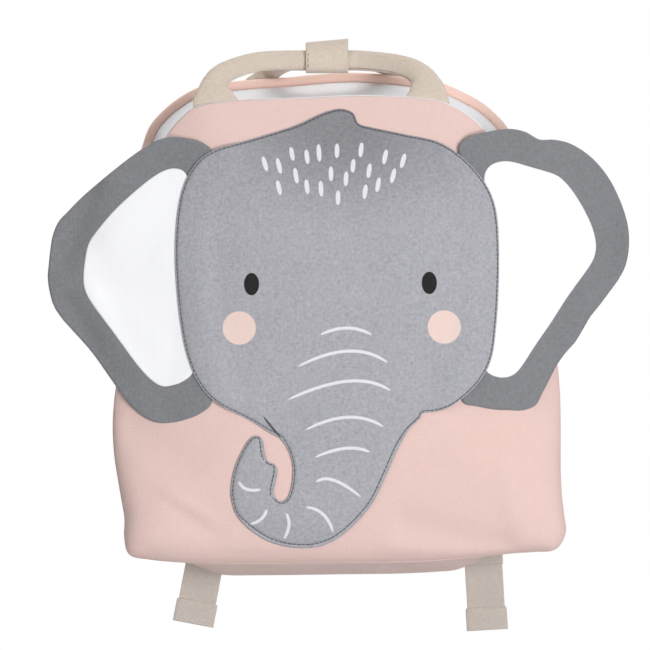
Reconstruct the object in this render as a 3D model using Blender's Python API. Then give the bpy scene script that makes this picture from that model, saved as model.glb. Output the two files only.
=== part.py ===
"""Toddler's backpack with an elephant's face, ears and trunk sewn on its front.

Metres, +Z up, the face looks towards -Y. The bag hangs by its wrapped handles: the origin is the
underside of the wrap, on the mid-plane of the gusset. Outlines are short tables of shares of the
named sizes, read across (+X) and up (+Z) from the middle of the piece.
"""
import math

import bmesh
import bpy
import numpy as np
from mathutils import Vector
from mathutils.geometry import delaunay_2d_cdt

# Clearances and cloth
GAP = 0.0003                    # air left between two pieces that touch
CANVAS = 0.0020                 # body canvas with its backing
BACK_PAD = 0.0050               # quilted back panel
MESH_STEP = 0.0115              # spacing of the points that carry a curved cloth panel

# Body
FRONT_WIDTH = 0.290
FRONT_HEIGHT = 0.297
FRONT_BULGE = 0.024             # how far the stuffed front stands out from its seam
BACK_WIDTH = 0.284
BACK_HEIGHT = 0.315
BACK_CROWN = 0.0024              # the back handle pulls the back edge up in the middle
CORNER_LIFT = 0.0115            # the back's bottom corners are rounder than the front's
CORNER_TUCK = 0.0030
SHOULDER_PUSH = 0.0078          # the back's shoulders stand out past the front's
CROWN_RUN = 0.13                # half the width of that rise, as a share of the body's
GUSSET_DEPTH = 0.074            # front seam to back seam
TOP_DROP = 0.0170               # underside of the wrap to the top edge of the front panel
BODY_SHIFT = 0.0032             # middle of the body beside the hanging point
BACK_RISE = 0.0083              # the back's top edge stands above the front's

# Zip band over the top
ZIP_START_UP = 0.26             # share of the height where the white band meets the pink gusset
ZIP_CLOTH = 0.0016
ZIP_SAG = 0.009                 # the band dips between its seams, which leaves room for fingers
CHAIN_WIDTH = 0.0055
CHAIN_HEIGHT = 0.0012
SLIDER_LENGTH = 0.011
SLIDER_WIDTH = 0.0085
SLIDER_HEIGHT = 0.0042
PULL_LENGTH = 0.020
PULL_SHARE = 0.55               # the pull is this much of the slider's width
PIPING_RADIUS = 0.0036

# Face, trunk and ears
FACE_WIDTH = 0.2075
FACE_HEIGHT = 0.2085
FACE_DROP = 0.0075              # top of the front panel to the tuft of the head
FACE_SHIFT = -0.0013            # middle of the face beside the middle of the body
FACE_CLOTH = 0.0028
EAR_WIDTH = 0.105
EAR_HEIGHT = 0.183
EAR_CLOTH = 0.0022
EAR_BORDER = 0.0200             # grey rim round the white ear panel
EAR_LINING = 0.0008
INSET_HELD = 0.97               # share of the rim's width that is kept everywhere
EAR_SPREAD = 0.1326             # middle of the face to the middle of an ear
EAR_LEFT_DROP = 0.0051          # middle of the face to the middle of the left ear
EAR_RIGHT_DROP = 0.0
EAR_RIGHT_SCALE = 1.049         # the right ear is cut a little wider
EAR_BEND = 0.76                 # share of the body where an ear leaves the curve of the front
EAR_FALL = 1.05                 # past it, the ear falls back by this share of the bulge
TUCK_REACH = 0.014              # the head rises over the tucked ear within this distance
EDGE_EASE = 0.0009              # the head stands off this much more where the panel turns away
EASE_START = 0.60               # share of the body where that begins

# Handles
HANDLE_TUBE = 0.0126            # rolled part, across
HANDLE_SPAN = 0.1355            # middle of one base to the middle of the other
HANDLE_SHIFT = -0.0114          # middle of the handles beside the middle of the body
HANDLE_BASE_CLOTH = 0.0030
BACK_HANDLE_SPAN = 0.1000
BACK_TAB = 0.022                # back handle's flat end, sewn on the back panel
WRAP_LENGTH = 0.0275
WRAP_HEIGHT = 0.0200
WRAP_CLOTH = 0.0014
WRAP_SHIFT = -0.0045            # middle of the wrap beside the hanging point
WRAP_SLANT = 0.10               # rise of the wrap's loose top for each length across
HANDLE_CLEAR = 0.0007           # air between the rolled handles and inside the wrap
HANDLE_SEAT = 0.0012            # a slanting base stands this far above the seam's edge

# Shoulder straps
STRAP_WIDTH = 0.046
STRAP_PAD = 0.0060
STRAP_LENGTH = 0.190            # height that a padded strap covers
STRAP_TOP_DROP = 0.032          # back's top edge to a strap's sewn end
STRAP_SPREAD = 0.088            # between the middles of the straps, at the top
STRAP_STAND = 0.034             # room for an arm between strap and back
WEBBING_WIDTH = 0.0246
WEBBING_CLOTH = 0.0013
TAIL_SPREAD = 0.1843            # between the middles of the tails at the body's lowest edge
TAIL_DROP = 0.0335              # body's lowest edge to the end of a tail
TAIL_EXTRAS = {"left": 0.0, "right": 0.0040}      # the right tail was cut longer
TAIL_SHIFT = 0.0031             # middle of the two tails beside the middle of the body
TAIL_LEANS = {"left": 0.19, "right": 0.06}      # outward run for each length of drop
TAIL_HEM = 0.0150
TAIL_HEM_SPARE = 0.0012         # the folded hem is this much wider
ANCHOR_RISE = 0.030             # body's lowest edge to the sewn end of the webbing
RING_BAR = 0.0034               # bar of the plastic ring between strap and webbing
RING_WINDOW = 0.0110
RING_ROOM = 0.0012              # air beside the webbing in the ring

# Body outline, clockwise from the middle of the top edge: across and up are shares of the size.
BODY_OUTLINE = (
    # across, up
    (0.060, 0.503),
    (0.200, 0.495),
    (0.275, 0.468),
    (0.335, 0.410),
    (0.400, 0.278),
    (0.455, 0.083),
    (0.486, -0.111),
    (0.490, -0.319),
    (0.498, -0.410),
    (0.500, -0.445),
    (0.477, -0.476),
    (0.400, -0.482),
    (0.200, -0.499),
    (0.000, -0.503),
    (-0.219, -0.505),
    (-0.363, -0.502),
    (-0.459, -0.489),
    (-0.476, -0.467),
    (-0.471, -0.430),
    (-0.480, -0.369),
    (-0.496, -0.271),
    (-0.499, -0.190),
    (-0.493, -0.131),
    (-0.470, 0.062),
    (-0.435, 0.256),
    (-0.400, 0.375),
    (-0.369, 0.432),
    (-0.318, 0.478),
    (-0.227, 0.493),
    (-0.090, 0.498),
)

# Face outline, clockwise from the tuft.
FACE_OUTLINE = (
    # across, up
    (0.010, 0.501),
    (0.052, 0.487),
    (0.070, 0.454),
    (0.195, 0.425),
    (0.320, 0.395),
    (0.420, 0.320),
    (0.485, 0.212),
    (0.500, 0.050),
    (0.491, -0.165),
    (0.465, -0.295),
    (0.385, -0.390),
    (0.280, -0.433),
    (0.040, -0.430),
    (-0.163, -0.509),
    (-0.222, -0.483),
    (-0.280, -0.450),
    (-0.385, -0.392),
    (-0.450, -0.295),
    (-0.485, -0.145),
    (-0.500, 0.065),
    (-0.485, 0.225),
    (-0.445, 0.320),
    (-0.385, 0.370),
    (-0.260, 0.408),
    (-0.130, 0.448),
    (-0.050, 0.485),
)

# Trunk outline in shares of the face's size: down its right side, round under it, up to the tip,
# then down the tip's inner side and up to the chin, and back inside the face.
TRUNK_OUTLINE = (
    # across, up
    (0.268, -0.428),
    (0.247, -0.458),
    (0.225, -0.480),
    (0.208, -0.506),
    (0.185, -0.550),
    (0.154, -0.621),
    (0.114, -0.704),
    (0.068, -0.762),
    (0.018, -0.808),
    (-0.025, -0.834),
    (-0.074, -0.848),
    (-0.136, -0.848),
    (-0.182, -0.839),
    (-0.228, -0.820),
    (-0.275, -0.787),
    (-0.308, -0.750),
    (-0.324, -0.707),
    (-0.327, -0.661),
    (-0.315, -0.600),
    (-0.293, -0.550),
    (-0.275, -0.520),
    (-0.259, -0.505),
    (-0.240, -0.504),
    (-0.228, -0.520),
    (-0.222, -0.553),
    (-0.213, -0.581),
    (-0.194, -0.588),
    (-0.183, -0.606),
    (-0.186, -0.634),
    (-0.194, -0.670),
    (-0.188, -0.695),
    (-0.167, -0.705),
    (-0.151, -0.690),
    (-0.142, -0.662),
    (-0.136, -0.620),
    (-0.139, -0.584),
    (-0.151, -0.547),
    (-0.167, -0.522),
    (-0.197, -0.486),
    (-0.225, -0.446),
    (-0.175, -0.380),
    (-0.020, -0.335),
    (0.160, -0.345),
    (0.250, -0.385),
)

# Ear outlines, from the root's top over the free edge to the root's bottom, then up the tucked
# root. Border is the share of the grey rim that is left between this edge and the white panel.
LEFT_EAR = (
    # across, up, border
    (0.500, 0.450, 0.80),
    (0.270, 0.500, 1.00),
    (0.080, 0.460, 0.92),
    (-0.225, 0.325, 1.00),
    (-0.355, 0.255, 1.12),
    (-0.462, 0.180, 1.16),
    (-0.500, 0.050, 1.14),
    (-0.500, -0.012, 1.12),
    (-0.450, -0.110, 1.08),
    (-0.240, -0.250, 0.95),
    (-0.090, -0.370, 0.95),
    (0.020, -0.450, 1.05),
    (0.160, -0.500, 1.18),
    (0.340, -0.490, 1.14),
    (0.500, -0.430, 0.80),
    (0.440, -0.310, 0.08),
    (0.360, -0.110, 0.08),
    (0.345, 0.100, 0.08),
    (0.375, 0.275, 0.08),
)
RIGHT_EAR = (
    (-0.500, 0.435, 0.80),
    (-0.297, 0.493, 1.00),
    (-0.140, 0.497, 1.00),
    (-0.017, 0.462, 1.00),
    (0.110, 0.460, 1.05),
    (0.273, 0.405, 1.16),
    (0.407, 0.303, 1.20),
    (0.494, 0.156, 1.10),
    (0.477, 0.020, 1.00),
    (0.360, -0.090, 1.00),
    (0.266, -0.162, 1.00),
    (0.191, -0.239, 0.96),
    (0.098, -0.305, 0.96),
    (0.040, -0.368, 0.96),
    (-0.036, -0.452, 1.00),
    (-0.085, -0.482, 1.04),
    (-0.250, -0.484, 1.00),
    (-0.395, -0.470, 1.00),
    (-0.494, -0.442, 0.80),
    (-0.400, -0.340, 0.08),
    (-0.340, -0.190, 0.08),
    (-0.320, 0.056, 0.08),
    (-0.350, 0.235, 0.08),
)

# Handles from the middle of the left base to the middle of the right base: along is a share of the
# span, rise runs from 0 at the bag's top edge to 1 at the wrap, and below 0 it is a share of the
# back tab; breadth and cloth are shares of the tube, lean runs from 0 over the seam to 1.
FRONT_HANDLE = (
    # along, rise, breadth, cloth, lean
    (-0.500, 0.000, 2.08, 0.24, 0.00),
    (-0.508, 0.200, 1.85, 0.30, 0.06),
    (-0.507, 0.465, 1.25, 0.62, 0.20),
    (-0.469, 0.674, 1.12, 0.86, 0.38),
    (-0.394, 0.837, 1.04, 0.98, 0.60),
    (-0.290, 0.965, 1.00, 1.00, 0.84),
    (-0.160, 1.000, 1.00, 1.00, 1.00),
    (-0.050, 1.000, 1.00, 1.00, 1.00),
    (0.080, 1.000, 1.00, 1.00, 1.00),
    (0.180, 1.000, 1.00, 1.00, 1.00),
    (0.332, 0.890, 1.02, 1.00, 0.74),
    (0.424, 0.770, 1.08, 0.94, 0.50),
    (0.474, 0.605, 1.20, 0.76, 0.32),
    (0.495, 0.400, 1.55, 0.48, 0.16),
    (0.502, 0.200, 1.90, 0.30, 0.06),
    (0.500, 0.000, 2.08, 0.24, 0.00),
)
BACK_HANDLE = (
    (-0.470, -1.000, 1.50, 0.24, 0.00),
    (-0.470, -0.300, 1.50, 0.24, 0.00),
    (-0.445, 0.150, 1.25, 0.24, -0.04),
    (-0.390, 0.420, 1.10, 0.32, -0.12),
    (-0.335, 0.680, 1.00, 0.60, -0.06),
    (-0.275, 0.880, 1.00, 0.90, 0.36),
    (-0.220, 0.980, 1.00, 1.00, 0.80),
    (-0.175, 1.000, 1.00, 1.00, 1.00),
    (-0.120, 1.000, 1.00, 1.00, 1.00),
    (0.080, 1.000, 1.00, 1.00, 1.00),
    (0.235, 1.000, 1.00, 1.00, 1.00),
    (0.350, 1.000, 1.00, 1.00, 0.42),
    (0.440, 0.860, 1.08, 0.60, -0.06),
    (0.490, 0.600, 1.30, 0.32, -0.12),
    (0.505, 0.200, 1.60, 0.24, -0.04),
    (0.500, -0.300, 1.70, 0.24, 0.00),
    (0.500, -1.000, 1.70, 0.24, 0.00),
)

# Padded strap from its sewn top to the ring: down is a share of its length, stand of the room
# for an arm, out of the way from the top's place across to the ring's; breadth is a share of its
# width and pad of its thickness.
STRAP_SECTIONS = (
    # down, stand, out, breadth, pad
    (0.000, 0.000, 0.00, 1.00, 0.70),
    (0.070, 0.010, 0.02, 1.00, 1.00),
    (0.220, 0.420, 0.22, 1.00, 1.00),
    (0.400, 0.850, 0.52, 1.00, 1.00),
    (0.600, 1.000, 0.80, 0.96, 1.00),
    (0.780, 0.960, 0.95, 0.84, 1.00),
    (0.900, 0.860, 1.00, 0.62, 0.60),
    (0.960, 0.800, 1.00, 0.53, 0.34),
)
# Depths of the cloth band between the seams: 0 at the front, flat under the zip chain.
BAND_DEPTHS = (0.00, 0.22, 0.44, 0.56, 0.78, 1.00)

# Places that follow from the sizes
FRONT_SEAM = -GUSSET_DEPTH / 2
BACK_SEAM = GUSSET_DEPTH / 2
FRONT_TOP = -TOP_DROP
FRONT_MIDDLE = (BODY_SHIFT, FRONT_TOP - FRONT_HEIGHT / 2)
BACK_TOP = FRONT_TOP + BACK_RISE
BACK_MIDDLE = (BODY_SHIFT, BACK_TOP - BACK_HEIGHT / 2)
BACK_BOTTOM = BACK_TOP - BACK_HEIGHT
BACK_FACE = BACK_SEAM + GAP + BACK_PAD
FACE_MIDDLE = (BODY_SHIFT + FACE_SHIFT, FRONT_TOP - FACE_DROP - FACE_HEIGHT / 2)
EAR_MIDDLES = {
    "left": (FACE_MIDDLE[0] - EAR_SPREAD, FACE_MIDDLE[1] - EAR_LEFT_DROP),
    "right": (FACE_MIDDLE[0] + EAR_SPREAD, FACE_MIDDLE[1] - EAR_RIGHT_DROP),
}
HANDLE_MIDDLE = BODY_SHIFT + HANDLE_SHIFT
HANDLE_CREST = WRAP_CLOTH + HANDLE_CLEAR + HANDLE_TUBE / 2
RING_TOP_BAR = BACK_TOP - STRAP_TOP_DROP - STRAP_LENGTH
RING_LOW_BAR = RING_TOP_BAR - RING_WINDOW - RING_BAR


def material(name, hex_colour, roughness, metallic=0.0):
    """Principled material whose base colour is an sRGB hex value turned to linear."""
    channels = [int(hex_colour[i:i + 2], 16) / 255 for i in (0, 2, 4)]
    linear = [c / 12.92 if c <= 0.04045 else ((c + 0.055) / 1.055) ** 2.4 for c in channels]
    made = bpy.data.materials.new(name)
    made.use_nodes = True
    shader = made.node_tree.nodes["Principled BSDF"]
    shader.inputs["Base Color"].default_value = (*linear, 1.0)
    shader.inputs["Roughness"].default_value = roughness
    shader.inputs["Metallic"].default_value = metallic
    return made


def place(table, middle, width, height):
    """Turn the across and up shares of a table into x and z round the piece's middle."""
    rows = np.array([row[:2] for row in table])
    return rows * (width, height) + middle


def smooth(rows, count, closed):
    """Read count rows evenly by length off a Catmull-Rom curve through all columns of rows."""
    rows = np.asarray(rows, dtype=float)
    if closed:
        ends = np.vstack((rows[-1], rows, rows[0], rows[1]))
    else:
        ends = np.vstack((2 * rows[0] - rows[1], rows, 2 * rows[-1] - rows[-2]))
    fine = []
    for before, start, stop, after in zip(ends, ends[1:], ends[2:], ends[3:]):
        t = np.linspace(0, 1, 24, endpoint=False)[:, None]
        fine.append(0.5 * (2 * start + (stop - before) * t
                           + (2 * before - 5 * start + 4 * stop - after) * t ** 2
                           + (3 * start - before - 3 * stop + after) * t ** 3))
    fine.append(rows[:1] if closed else rows[-1:])
    fine = np.vstack(fine)
    lengths = np.linalg.norm(np.diff(fine[:, :2], axis=0), axis=1)
    along = np.concatenate(([0], np.cumsum(lengths)))
    wanted = np.linspace(0, along[-1], count, endpoint=not closed)
    return np.column_stack([np.interp(wanted, along, column) for column in fine.T])


def outward(loop):
    """Unit normals that point out of a closed clockwise loop of x and z."""
    tangent = np.roll(loop, -1, axis=0) - np.roll(loop, 1, axis=0)
    tangent /= np.linalg.norm(tangent, axis=1)[:, None]
    return np.column_stack((-tangent[:, 1], tangent[:, 0]))


def distance_to(loop, points):
    """Distance of each point to a closed loop, and whether the point lies inside the loop."""
    start = loop
    run = np.roll(loop, -1, axis=0) - loop
    offset = points[:, None, :] - start[None]
    share = np.clip((offset * run).sum(2) / (run ** 2).sum(1), 0, 1)
    distance = np.linalg.norm(offset - share[..., None] * run, axis=2).min(1)
    stop = start + run
    spans = (start[:, 1] > points[:, None, 1]) != (stop[:, 1] > points[:, None, 1])
    rise = np.where(np.abs(run[:, 1]) < 1e-12, 1e-12, run[:, 1])
    crossing = start[:, 0] + (points[:, None, 1] - start[:, 1]) * run[:, 0] / rise
    inside = (spans & (points[:, None, 0] < crossing)).sum(1) % 2 == 1
    return distance, inside


def front_outline(count):
    """The front panel's seam, as count points of x and z."""
    return smooth(place(BODY_OUTLINE, FRONT_MIDDLE, FRONT_WIDTH, FRONT_HEIGHT), count, True)


def back_outline(count):
    """The back seam: the front outline's shape at the back's size, pulled up by the handle, with
    rounder corners at the bottom and broader shoulders."""
    front = front_outline(count)
    shares = (front - FRONT_MIDDLE) / (FRONT_WIDTH, FRONT_HEIGHT)
    loop = shares * (BACK_WIDTH, BACK_HEIGHT) + BACK_MIDDLE
    crown = np.exp(-(shares[:, 0] / CROWN_RUN) ** 2) * (shares[:, 1] > 0)
    loop[:, 1] += BACK_CROWN * crown
    low = np.clip(-(shares[:, 1] + 0.36) / 0.12, 0, 1)
    aside = np.clip((np.abs(shares[:, 0]) - 0.26) / 0.14, 0, 1)
    corner = (low * aside) ** 2 * (3 - 2 * low * aside)
    high = np.clip((0.495 - shares[:, 1]) / 0.08, 0, 1)
    shoulder = high * np.clip(shares[:, 1] / 0.32, 0, 1)
    shoulder = shoulder ** 2 * (3 - 2 * shoulder)
    loop[:, 1] += CORNER_LIFT * corner
    loop[:, 0] += (SHOULDER_PUSH * shoulder - CORNER_TUCK * corner) * np.sign(shares[:, 0])
    return loop


def body_share(points):
    """How far out a point lies from the body's middle: 0 there, 1 on the front seam."""
    outline = front_outline(360) - FRONT_MIDDLE
    angle = np.arctan2(outline[:, 1], outline[:, 0])
    order = np.argsort(angle)
    offset = points - FRONT_MIDDLE
    reach = np.interp(np.arctan2(offset[:, 1], offset[:, 0]), angle[order],
                      np.linalg.norm(outline[order], axis=1), period=2 * math.pi)
    return np.linalg.norm(offset, axis=1) / reach


def front_face(points):
    """Y of the front panel's outer face: the bulge falls with the cube of the share."""
    share = np.minimum(body_share(points), 1)
    return FRONT_SEAM - FRONT_BULGE * (1 - share ** 3)


def ear_face(points):
    """Y that an ear lies against: the front panel, then a straight run past its bend."""
    share = body_share(points)
    straight = 1 - EAR_BEND ** 3 - EAR_FALL * (share - EAR_BEND)
    return FRONT_SEAM - FRONT_BULGE * np.where(share < EAR_BEND, 1 - share ** 3, straight)


def solid(name, points, faces, finish):
    """A named object from points and faces, with its normals made to point out."""
    mesh = bpy.data.meshes.new(name)
    mesh.from_pydata([tuple(p) for p in points], [], [tuple(int(i) for i in f) for f in faces])
    work = bmesh.new()
    work.from_mesh(mesh)
    bmesh.ops.recalc_face_normals(work, faces=work.faces)
    work.to_mesh(mesh)
    work.free()
    mesh.materials.append(finish)
    piece = bpy.data.objects.new(name, mesh)
    bpy.context.collection.objects.link(piece)
    return piece


def cloth_panel(name, loops, front, back, finish):
    """A cut cloth panel: the union of the loops, filled by points on a grid, with a front face
    at y = front(points), a back face at y = back(points) and a rim between them."""
    low = np.vstack(loops).min(0)
    high = np.vstack(loops).max(0)
    columns = np.arange(math.ceil(low[0] / MESH_STEP), math.floor(high[0] / MESH_STEP) + 1)
    rows = np.arange(math.ceil(low[1] / MESH_STEP), math.floor(high[1] / MESH_STEP) + 1)
    grid = np.stack(np.meshgrid(columns, rows), axis=-1).reshape(-1, 2) * MESH_STEP
    measured = [distance_to(loop, grid) for loop in loops]
    clear = np.min([distance for distance, inside in measured], axis=0) > MESH_STEP * 0.45
    within = np.any([inside for distance, inside in measured], axis=0)
    flat = np.vstack((*loops, grid[clear & within]))
    starts = np.cumsum([0] + [len(loop) for loop in loops])
    rings = [list(range(start, start + len(loop))) for start, loop in zip(starts, loops)]
    made = delaunay_2d_cdt([Vector(p) for p in flat], [], rings, 1, 1e-7)
    points = np.array([tuple(p) for p in made[0]])
    faces = [tuple(face) for face in made[2]]
    count = len(points)
    edges = [(face[i], face[(i + 1) % 3]) for face in faces for i in range(3)]
    known = set(edges)
    rim = [(a, b) for a, b in edges if (b, a) not in known]
    body = np.vstack((
        np.column_stack((points[:, 0], front(points), points[:, 1])),
        np.column_stack((points[:, 0], back(points), points[:, 1])),
    ))
    all_faces = list(faces)
    all_faces += [(c + count, b + count, a + count) for a, b, c in faces]
    all_faces += [(b, a, a + count, b + count) for a, b in rim]
    return solid(name, body, all_faces, finish)


def carry(name, sections, finish, closed=False):
    """A solid from closed cross-sections (stations, corners, 3), capped at both ends."""
    sections = np.asarray(sections)
    stations, corners = sections.shape[:2]
    faces = []
    for i in range(stations if closed else stations - 1):
        for j in range(corners):
            a = i * corners + j
            b = i * corners + (j + 1) % corners
            c = (i + 1) % stations * corners + (j + 1) % corners
            d = (i + 1) % stations * corners + j
            faces.append((a, b, c, d))
    if not closed:
        faces.append(tuple(range(corners))[::-1])
        faces.append(tuple(range((stations - 1) * corners, stations * corners)))
    return solid(name, sections.reshape(-1, 3), faces, finish)


def rounded(path, across, breadth, cloth, sides):
    """Oval sections along a path: breadth along across, cloth along the third direction."""
    tangent = np.gradient(path, axis=0)
    tangent /= np.linalg.norm(tangent, axis=1)[:, None]
    across = across - (across * tangent).sum(1)[:, None] * tangent
    across /= np.linalg.norm(across, axis=1)[:, None]
    third = np.cross(tangent, across)
    turn = (np.arange(sides) + 0.5) * 2 * math.pi / sides
    return (path[:, None]
            + across[:, None] * (breadth[:, None] / 2 * np.cos(turn))[..., None]
            + third[:, None] * (cloth[:, None] / 2 * np.sin(turn))[..., None])


def zip_shares():
    """Shares of the body outline where the zip band starts on the left and ends on the right;
    the second is past 1, because the band runs over the outline's first point."""
    loop = front_outline(960)
    above = loop[:, 1] > FRONT_MIDDLE[1] + ZIP_START_UP * FRONT_HEIGHT
    left = 1 - np.argmin(above[::-1]) / len(loop)
    return left, 1 + np.argmin(above) / len(loop)


def seams_at(shares):
    """Points and outward normals of the front and back seams at shares of the outline."""
    found = []
    for loop in (front_outline(480), back_outline(480)):
        along = np.arange(len(loop)) / len(loop)
        for rows in (loop, outward(loop)):
            found.append(np.column_stack([np.interp(shares, along, column, period=1)
                                          for column in rows.T]))
    return found


def side_strip(name, shares, profile, sag, finish):
    """Solid that follows the cloth band between the seams. Each corner of its profile is a depth
    share and an inset; the band dips by sag in its middle and comes up again at its ends."""
    near, near_out, far, far_out = seams_at(shares)
    left, right = zip_shares()
    progress = ((shares - left) % 1.0) / (right - left)
    ends = np.clip(8 * np.minimum(progress, 1 - progress), 0, 1)
    dips = np.sin(math.pi * np.array(BAND_DEPTHS)) ** 1.5
    sections = []
    for depth, inset in profile:
        out = near_out + (far_out - near_out) * depth
        out /= np.linalg.norm(out, axis=1)[:, None]
        dip = sag * ends * np.interp(depth, BAND_DEPTHS, dips) + inset
        spot = near + (far - near) * depth - out * dip[:, None]
        y = FRONT_SEAM + CANVAS + GAP + (GUSSET_DEPTH - CANVAS - GAP) * depth
        sections.append(np.column_stack((spot[:, 0], np.full(len(spot), y), spot[:, 1])))
    return carry(name, np.stack(sections, axis=1), finish)


def shell_panels(pink, back_cloth):
    """Front panel, stuffed out from its seam, and the flat quilted back panel."""
    seam = front_outline(84)
    cloth_panel("front_panel", [seam], front_face, lambda p: front_face(p) + CANVAS, pink)
    edge = back_outline(84)
    low, high = BACK_SEAM + GAP, BACK_FACE
    ring = np.column_stack((edge[:, 0], np.full(len(edge), low), edge[:, 1]))
    rear = ring + (0, high - low, 0)
    count = len(ring)
    middle = [(BODY_SHIFT, low, BACK_MIDDLE[1]), (BODY_SHIFT, high, BACK_MIDDLE[1])]
    faces = [(i, (i + 1) % count, 2 * count) for i in range(count)]
    faces += [(count + (i + 1) % count, count + i, 2 * count + 1) for i in range(count)]
    faces += [(i, count + i, count + (i + 1) % count, (i + 1) % count) for i in range(count)]
    solid("back_panel", np.vstack((ring, rear, middle)), faces, back_cloth)


def zip_and_gusset(pink, white, nylon, metal):
    """White zip band over the top with its chain and slider, and the pink gusset below it."""
    left, right = zip_shares()
    girth = np.linalg.norm(np.diff(front_outline(480), axis=0), axis=1).sum()
    air = GAP / girth

    def wall(cloth):
        return ([(depth, 0) for depth in BAND_DEPTHS]
                + [(depth, cloth) for depth in reversed(BAND_DEPTHS)])

    side_strip("zip_band", np.linspace(left, right, 34), wall(ZIP_CLOTH), ZIP_SAG, white)
    side_strip("gusset", np.linspace(right - 1 + air, left - air, 60), wall(CANVAS), 0.0, pink)

    def bar(width, low, high):
        half = width / 2 / (GUSSET_DEPTH - CANVAS - GAP)
        return [(0.5 - half, -high), (0.5 + half, -high), (0.5 + half, -low), (0.5 - half, -low)]

    stop = SLIDER_LENGTH / girth
    chain = np.linspace(left + stop, right - stop, 34)
    side_strip("zip_chain", chain, bar(CHAIN_WIDTH, GAP, GAP + CHAIN_HEIGHT), ZIP_SAG, nylon)
    low = 3 * GAP + CHAIN_HEIGHT
    head = left + 2 * stop
    places = np.array((head, head + stop, head + stop + air, head + stop + PULL_LENGTH / girth))
    body = side_strip("zip_slider", places, bar(SLIDER_WIDTH, low, low + SLIDER_HEIGHT), ZIP_SAG,
                      metal)
    middle_y = (FRONT_SEAM + CANVAS + GAP + BACK_SEAM) / 2
    for vertex in body.data.vertices[8:]:
        vertex.co.y = middle_y + (vertex.co.y - middle_y) * PULL_SHARE


def ear_outline(table, side):
    """Edge of an ear and of its white panel: the border column sets the rim between them, and
    a point of the panel stays only where it is clear of the rim of every other point."""
    width = EAR_WIDTH * (EAR_RIGHT_SCALE if side == "right" else 1)
    placed = place(table, EAR_MIDDLES[side], width, EAR_HEIGHT)
    rows = smooth(np.column_stack((placed, [row[2] for row in table])), 52, True)
    edge = rows[:, :2]
    area = (edge[:, 0] * np.roll(edge[:, 1], -1) - edge[:, 1] * np.roll(edge[:, 0], -1)).sum()
    inward = outward(edge) * (1 if area > 0 else -1)
    inset = rows[:, 2] * EAR_BORDER
    lining = edge + inward * inset[:, None]
    apart = np.linalg.norm(lining[:, None] - edge, axis=2)
    lining = lining[(apart > inset * INSET_HELD).all(1)]
    for evening in range(2):
        lining = (np.roll(lining, 1, axis=0) + 2 * lining + np.roll(lining, -1, axis=0)) / 4
    return edge, lining


def face_loops():
    """Edges of the face and of the trunk, which overlap under the chin."""
    face = smooth(place(FACE_OUTLINE, FACE_MIDDLE, FACE_WIDTH, FACE_HEIGHT), 80, True)
    return [face, smooth(place(TRUNK_OUTLINE, FACE_MIDDLE, FACE_WIDTH, FACE_HEIGHT), 104, True)]


def head_and_ears(grey, rim_grey, white):
    """Ears lie on the front panel with their roots tucked under the head, which rises there."""
    ears = {}
    for side, table in (("left", LEFT_EAR), ("right", RIGHT_EAR)):
        edge, lining = ear_outline(table, side)
        ears[side] = edge
        cloth_panel("ear_" + side, [edge], lambda p: ear_face(p) - GAP - EAR_CLOTH,
                    lambda p: ear_face(p) - GAP, rim_grey)
        cloth_panel("ear_lining_" + side, [lining],
                    lambda p: ear_face(p) - 2 * GAP - EAR_CLOTH - EAR_LINING,
                    lambda p: ear_face(p) - 2 * GAP - EAR_CLOTH, white)

    def head_back(points):
        rise = np.zeros(len(points))
        for edge in ears.values():
            distance, inside = distance_to(edge, points)
            reach = np.where(inside, 0, np.maximum(distance - MESH_STEP, 0)) / TUCK_REACH
            rise = np.maximum(rise, 1 - np.minimum(reach, 1))
        rise = rise ** 2 * (3 - 2 * rise)
        tucked = ear_face(points) - EAR_CLOTH - EAR_LINING - 3 * GAP
        turn = (body_share(points) - EASE_START) / (1 - EASE_START)
        ease = EDGE_EASE * np.clip(turn, 0, 1)
        return (front_face(points) - GAP - ease) * (1 - rise) + (tucked - ease) * rise

    cloth_panel("head", face_loops(), lambda p: head_back(p) - FACE_CLOTH, head_back, grey)


def piping(finish):
    """Corded piping on the back seam, over the top only, down to where the zip band ends."""
    left, right = zip_shares()
    loop = back_outline(480)
    loop = loop + outward(loop) * (PIPING_RADIUS + GAP)
    along = np.arange(481) / 480
    closed = np.vstack((loop, loop[:1]))
    wanted = np.linspace(left, right, 44) % 1.0
    line = np.column_stack([np.interp(wanted, along, column) for column in closed.T])
    path = np.column_stack((line[:, 0], np.full(len(line), BACK_SEAM), line[:, 1]))
    size = np.full(len(path), 2 * PIPING_RADIUS)
    depth = np.tile((0.0, 1.0, 0.0), (len(path), 1))
    carry("piping", rounded(path, depth, size, size, 8), finish)


def top_edge(loop, x):
    """Height of a body outline's top edge at x."""
    top = loop[loop[:, 1] > loop[:, 1].mean()]
    top = top[np.argsort(top[:, 0])]
    return np.interp(x, top[:, 0], top[:, 1])


def handle(name, table, span, seam, foot, crest, finish):
    """Rolled handle whose flat ends stand on a seam: y runs from foot to crest."""
    rows = smooth(np.array(table), 40, False)
    along, rise, breadth, cloth, lean = np.minimum(rows, (1, 1, 9, 9, 1)).T
    x = HANDLE_MIDDLE + along * span
    edge = top_edge(seam, x) + HANDLE_SEAT
    z = edge + np.where(rise > 0, rise * (HANDLE_CREST - edge), rise * BACK_TAB)
    path = np.column_stack((x, foot + (crest - foot) * lean, z))
    across = np.cross(np.gradient(path, axis=0), (0, 1, 0))
    oval = rounded(path, across, breadth * HANDLE_TUBE, cloth * HANDLE_TUBE, 10)
    carry(name, oval, finish)


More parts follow.
